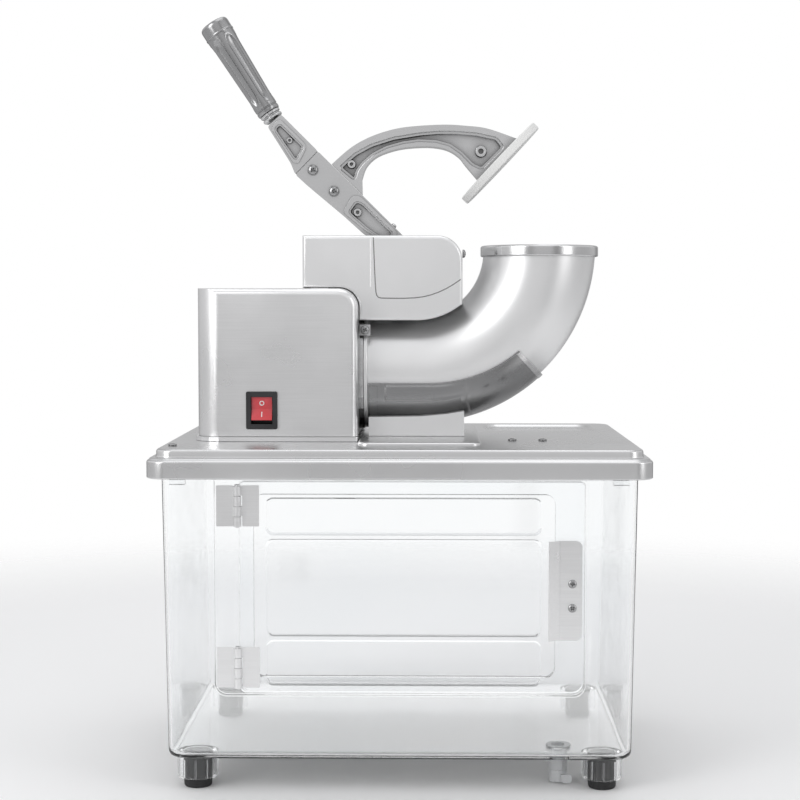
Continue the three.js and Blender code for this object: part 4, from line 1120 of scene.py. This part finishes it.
# ---------------------------------------------------------------- lid

LID_W, LID_D, LID_R = 396.0, 300.0, 14.0
LID_BOTTOM, LID_TOP, PAD_TOP, TUB_TOP = 250.5, 273.5, 276.0, 260.0
LID_SCREWS = ((-181, -111), (92, -58), (117, -58))
LID_PROFILE = [(250.5, 0.9), (250.9, 0.25), (251.6, 0.0), (263.2, 0.0), (264.4, 0.5), (264.9, 1.3),
               (265.2, 1.8), (266.0, 2.1), (266.5, 2.9), (266.6, 4.0), (266.7, 5.6), (267.1, 6.6),
               (268.2, 7.0), (271.2, 7.0), (272.4, 7.5), (273.1, 8.4), (273.45, 9.8), (273.5, 11.6)]
PAD_PROFILE = [(272.5, 0), (274.6, 0.0), (275.4, 0.5), (275.9, 1.5), (276.0, 3.0)]
TRAY_PROFILE = [(268.6, 1.0), (268.6, -2.0), (272.2, -2.6)]
TRAY_HOLLOW = [(274.5, -2.4), (273.5, -1.6), (273.0, -0.4), (272.2, 0.5), (271.4, 1.6), (270.6, 3.4),
               (270.4, 5.2)]


def lid_plan(inset, radius=None):
    return rounded(-LID_W / 2 + inset, LID_W / 2 - inset, -LID_D / 2 + inset, LID_D / 2 - inset,
                   radius or max(LID_R + 2 - inset * 0.35, 4), 12)


def pad_plan(inset):
    return rounded(-34 + inset, 65 - inset, -107 + inset, 107 - inset, 9 - inset * 0.5, 10)


def tray_plan(inset):
    return rounded(74 + inset, 170 - inset, 47 + inset, 128 - inset, 12 - inset * 0.3, 10)


def levels(outline_at, heights):
    """A body from its outlines at several heights, each (height, inset)."""
    return loft([[(x, y, z) for x, y in outline_at(inset)] for z, inset in heights])


def make_lid():
    body = tool(levels(lid_plan, LID_PROFILE))
    carve(body, [tool(levels(pad_plan, PAD_PROFILE))], "UNION")
    cuts = [tool(prism(lid_plan(2.5, 12), LID_BOTTOM - 1, TUB_TOP + 0.3, "XY")),
            tool(prism(lid_plan(10, 14), TUB_TOP - 5, LID_TOP - 2, "XY")),
            box_tool(-60.3, -37.7, -38.3, 38.3, LID_BOTTOM, PAD_TOP + 5)]
    carve(body, cuts)
    carve(body, [tool(levels(tray_plan, TRAY_PROFILE))], "UNION")
    cuts = [tool(levels(tray_plan, TRAY_HOLLOW))]
    cuts += [cylinder_tool((x, y, LID_TOP - 11.5), (x, y, LID_TOP + 8.5), 1.9, 24) for x, y in LID_SCREWS]
    carve(body, cuts)
    finish_piece(body, ["lid"], width=0, angle=40, levels_crisp=True)
    for index, (x, y) in enumerate(LID_SCREWS):
        node = f"lid_screw_{index + 1}"
        screw(node + "_fine", node, (x, y, LID_TOP + 0.3), (0, 0, 1), 3.6, 1.7, 30 * index)


# ---------------------------------------------------------------- cabinet

FEET = [(-162, -113), (162, -113), (-162, 113), (162, 113)]
DRAIN = (128, -98)
TUB_BOTTOM, TUB_HIGH = 26.5, TUB_TOP - 26.5
TUB_FOOT = (369, 271)         # plan at its bottom
TUB_WIDER = 7                 # at its top, both ways
TUB_LEVELS = [(26.5, 6.0), (26.6, 4.2), (27.2, 2.4), (28.3, 1.1), (29.9, 0.3), (31.8, 0.0),
              (256.0, 0.0), (260.0, 0.0)]
INNER_LEVELS = [(29.5, 6.4), (29.7, 5.2), (30.4, 4.2), (31.8, 3.3), (33.6, 3.0), (265.0, 3.0)]
BRIM_LEVELS = [(256.0, 0.5), (256.5, 0.0), (259.5, 0.0), (260.0, 0.5)]
SOCKET_RING = [(11.9, 8.0), (15.3, 8.0), (15.7, 8.4), (15.7, 24.5), (16.4, 26.0), (16.4, 27.6), (11.9, 27.6)]
DOOR_FRONT = -143.2
DOOR_BACK = -139.6


def tub_body(heights, corner, slope):
    """The drafted body of the cabinet, from (height, inset). Its corner shrinks with the inset."""
    loops = []
    for z, inset in heights:
        wider = TUB_WIDER * (z - TUB_BOTTOM) / TUB_HIGH
        half_w, half_d = ((size + wider) / 2 - inset for size in TUB_FOOT)
        plan = rounded(-half_w, half_w, -half_d, half_d, corner - inset * slope, 14)
        loops.append([(x, y, z) for x, y in plan])
    return tool(loft(loops))


def brim_plan(inset):
    return rounded(-193 + inset, 193 - inset, -145.5 + inset, 145.5 - inset, 12, 10)


def socket_rib(x, y, turn):
    """One of the upright ribs round a foot socket."""
    way = Vector((math.cos(turn), math.sin(turn), 0))
    side = Vector((-way.y, way.x, 0))
    points = ((0, -0.9), (0.75, -0.5), (0.75, 0.5), (0, 0.9))
    loops = [[tuple(Vector((x, y, z)) + way * (15.75 + out) + side * across) for out, across in points]
             for z in (9.0, 23.8)]
    piece_from("socket_rib", loft(loops), ["tub"], width=0.15 * MM)


def make_tub():
    body = split_through(tub_body(TUB_LEVELS, 16, 0.5), FEET + [DRAIN])
    carve(body, [tool(levels(brim_plan, BRIM_LEVELS))], "UNION")
    carve(body, [tub_body(INNER_LEVELS, 14, 0.4)])
    surround = rounded(-145, 146, 79, 252, (10, 10, 4, 4), 10)
    carve(body, [tool(eased_prism(surround, DOOR_FRONT, -132, 1.0, 4))], "UNION")
    seat = rounded(-124.9, 144.8, 81.9, 249.1, (4, 9, 4, 4), 10)
    opening = rounded(-114, 122, 94, 238, 8, 10)
    carve(body, [tool(prism(seat, -148, -139.3)), tool(prism(opening, -170, -120))])
    carve(body, [tool(revolve(SOCKET_RING, (x, y, 0), (0, 0, 1), 72)) for x, y in FEET], "UNION")
    carve(body, [cylinder_tool((*DRAIN, 20), (*DRAIN, 36), 7.9, 48)])
    finish_piece(body, ["tub"], width=0.3 * MM, levels_crisp=True)
    for x, y in FEET:
        for n in range(10):
            socket_rib(x, y, 2 * math.pi * (n + 0.5) / 10)


FOOT_NODES = ["foot_fl", "foot_fr", "foot_bl", "foot_br"]


def make_feet():
    profile = [(0, 0.6), (6.5, 0.6), (7.2, 0.0), (9.8, 0.0), (10.6, 0.5), (11.1, 1.4), (11.5, 7.2),
               (11.5, 25.4), (10.9, 26.2), (0, 26.2)]
    for (x, y), node in zip(FEET, FOOT_NODES):
        piece_from(f"{node}_fine", revolve(profile, (x, y, 0), (0, 0, 1), 72), [node], width=0)


DOOR_FIELDS = ((88, 124), (127, 203.5), (206.5, 236))     # sunk fields, by height
FIELD_LEVELS = ((-1.0, 0.3), (0, 0.1), (0.3, -0.2), (0.9, -0.9), (1.2, -2.0))
HANDLE_LOW, HANDLE_HIGH = 124.5, 202.5
HANDLE_SCREWS = (150, 169)
HANDLE_SCREW_X = 135
HINGE_X, HINGE_Y = (JOINTS["door_hinge"]["pos_m"][n] / MM for n in (0, 1))


def handle_holes():
    x = HANDLE_SCREW_X
    return [cylinder_tool((x, -150, z), (x, -130, z), 1.8, 24) for z in HANDLE_SCREWS]


def make_door():
    plan = rounded(-124, 144.2, 82.5, 248.5, (3, 9, 3, 3), 10)
    body = tool(eased_prism(plan, DOOR_FRONT, DOOR_BACK, 0.9, 4))
    cuts = []
    for low, high in DOOR_FIELDS:
        shape = rounded(-104, 111, low, high, 6, 8)
        loops = [[(x, DOOR_FRONT + deep, z) for x, z in offset_outline(shape, grow)]
                 for deep, grow in FIELD_LEVELS]
        cuts.append(tool(loft(loops)))
    carve(body, cuts + handle_holes())
    finish_piece(body, ["door_panel"], width=0.15 * MM, angle=34, segments=2)


def make_handle():
    """A bent plate, flat where it is screwed on and folded out at its left edge."""
    seat = DOOR_FRONT - 0.3
    outline = [(142.8, seat), (124.6, seat), (116.1, seat - 4.9), (116.5, seat - 6.0), (125.0, seat - 1.2),
               (142.8, seat - 1.2)]
    folded = tool(prism(soft_corners(outline, 1.0, 4)[2:-2], HANDLE_LOW, HANDLE_HIGH, "XY"))
    keep = tool(prism(rounded(115, 142.8, HANDLE_LOW, HANDLE_HIGH, (0.8, 5, 5, 0.8), 10), -155, -140))
    carve(folded, [keep], "INTERSECT")
    carve(folded, handle_holes())
    finish_piece(folded, ["door_handle"], width=0.25 * MM, angle=30)
    for index, z in enumerate(HANDLE_SCREWS):
        node = f"handle_screw_{index + 1}"
        screw(node + "_fine", node, (HANDLE_SCREW_X, seat - 1.2, z), (0, -1, 0), 3.3, 2.0, 35 * index)


def make_hinges():
    """Leaves with rolled knuckles, and a pin through them."""
    height, pitch, seat, front = 32.0, 8.0, -143.5, -144.7
    for place, middle in (("upper", 229.5), ("lower", 102.5)):
        low = middle - height / 2
        for side, first, node in ((-1, 0, "hinge_frame_"), (1, 1, "hinge_door_")):
            near = HINGE_X + side * 3.6
            left, right = sorted((near, HINGE_X + side * 16.7))
            leaf = tool(prism(rounded(left, right, low, low + height, 0.8, 4), front, seat))
            rolls = []
            for n in (first, first + 2):
                z0, z1 = low + n * pitch + 0.15, low + (n + 1) * pitch - 0.15
                rolls.append(cylinder_tool((HINGE_X, HINGE_Y, z0), (HINGE_X, HINGE_Y, z1), 3.1, 48))
                left, right = sorted((HINGE_X + side, near + side * 0.6))
                rolls.append(box_tool(left, right, front, seat - 0.05, z0, z1))
            carve(leaf, rolls, "UNION")
            bore = cylinder_tool((HINGE_X, HINGE_Y, low - 1), (HINGE_X, HINGE_Y, low + height + 1), 1.6, 32)
            carve(leaf, [bore])
            finish_piece(leaf, [node + place], width=0.22 * MM, angle=30)
        profile = [(0, -0.6), (1.5, -0.6), (1.5, height + 0.3), (2.3, height + 0.3), (2.3, height + 0.8),
                   (1.6, height + 1.2), (0, height + 1.2)]
        pin = revolve(profile, (HINGE_X, HINGE_Y, low), (0, 0, 1), 40)
        piece_from("hinge_pin", pin, ["hinge_pin_" + place], width=0)


# ---------------------------------------------------------------- switch and small fittings


ROCKER_TILT = math.radians(8)
ROCKER_SLOPE = 2.2 / 9.5      # of its two faces
ROCKER_OUT = 8.65             # from the pivot to the middle of its face
LEGEND_HIGH = 4.6


def legend_at(height):
    """The place and outward direction on the tilted rocker's face, at a height from its middle."""
    pivot = Vector((SWITCH_X, JOINTS["switch_rock"]["pos_m"][1] / MM, SWITCH_Z))
    out = ROCKER_OUT + abs(height) * ROCKER_SLOPE
    along = height * math.sin(ROCKER_TILT) - out * math.cos(ROCKER_TILT)
    up = height * math.cos(ROCKER_TILT) + out * math.sin(ROCKER_TILT)
    lean = math.copysign(math.atan(ROCKER_SLOPE), height) - ROCKER_TILT
    return pivot + Vector((0, along, up)), Vector((0, -math.cos(lean), -math.sin(lean)))


def make_legend(name, bm):
    legend = loose_piece("rocker_" + name, bm)
    surface(legend, "white_nylon", 30)
    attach(legend, BODY_OF["switch_rocker"])


def make_switch():
    """White legends moulded into the rocker: a ring over a bar."""
    at, normal = legend_at(LEGEND_HIGH)
    make_legend("ring", revolve([(1.3, -0.3), (2.0, -0.3), (2.0, 0.12), (1.3, 0.12)], at, normal, 40))
    at, normal = legend_at(-LEGEND_HIGH)
    side = normal.cross(Vector((1, 0, 0))).normalized()
    corners = ((-1, -1), (1, -1), (1, 1), (-1, 1))
    loops = [[tuple(at + normal * rise + Vector((0.35 * a, 0, 0)) + side * 2.2 * b) for a, b in corners]
             for rise in (-0.3, 0.12)]
    make_legend("bar", loft(loops))


def make_fittings():
    screw("clamp_screw_fine", "clamp_screw_1", (-30, -44.2, 364.5), (0, -1, 0), 3.4, 2.4)


make_housing()
make_cover()
make_lid()
make_tub()
make_feet()
make_door()
make_handle()
make_hinges()
make_switch()
make_fittings()
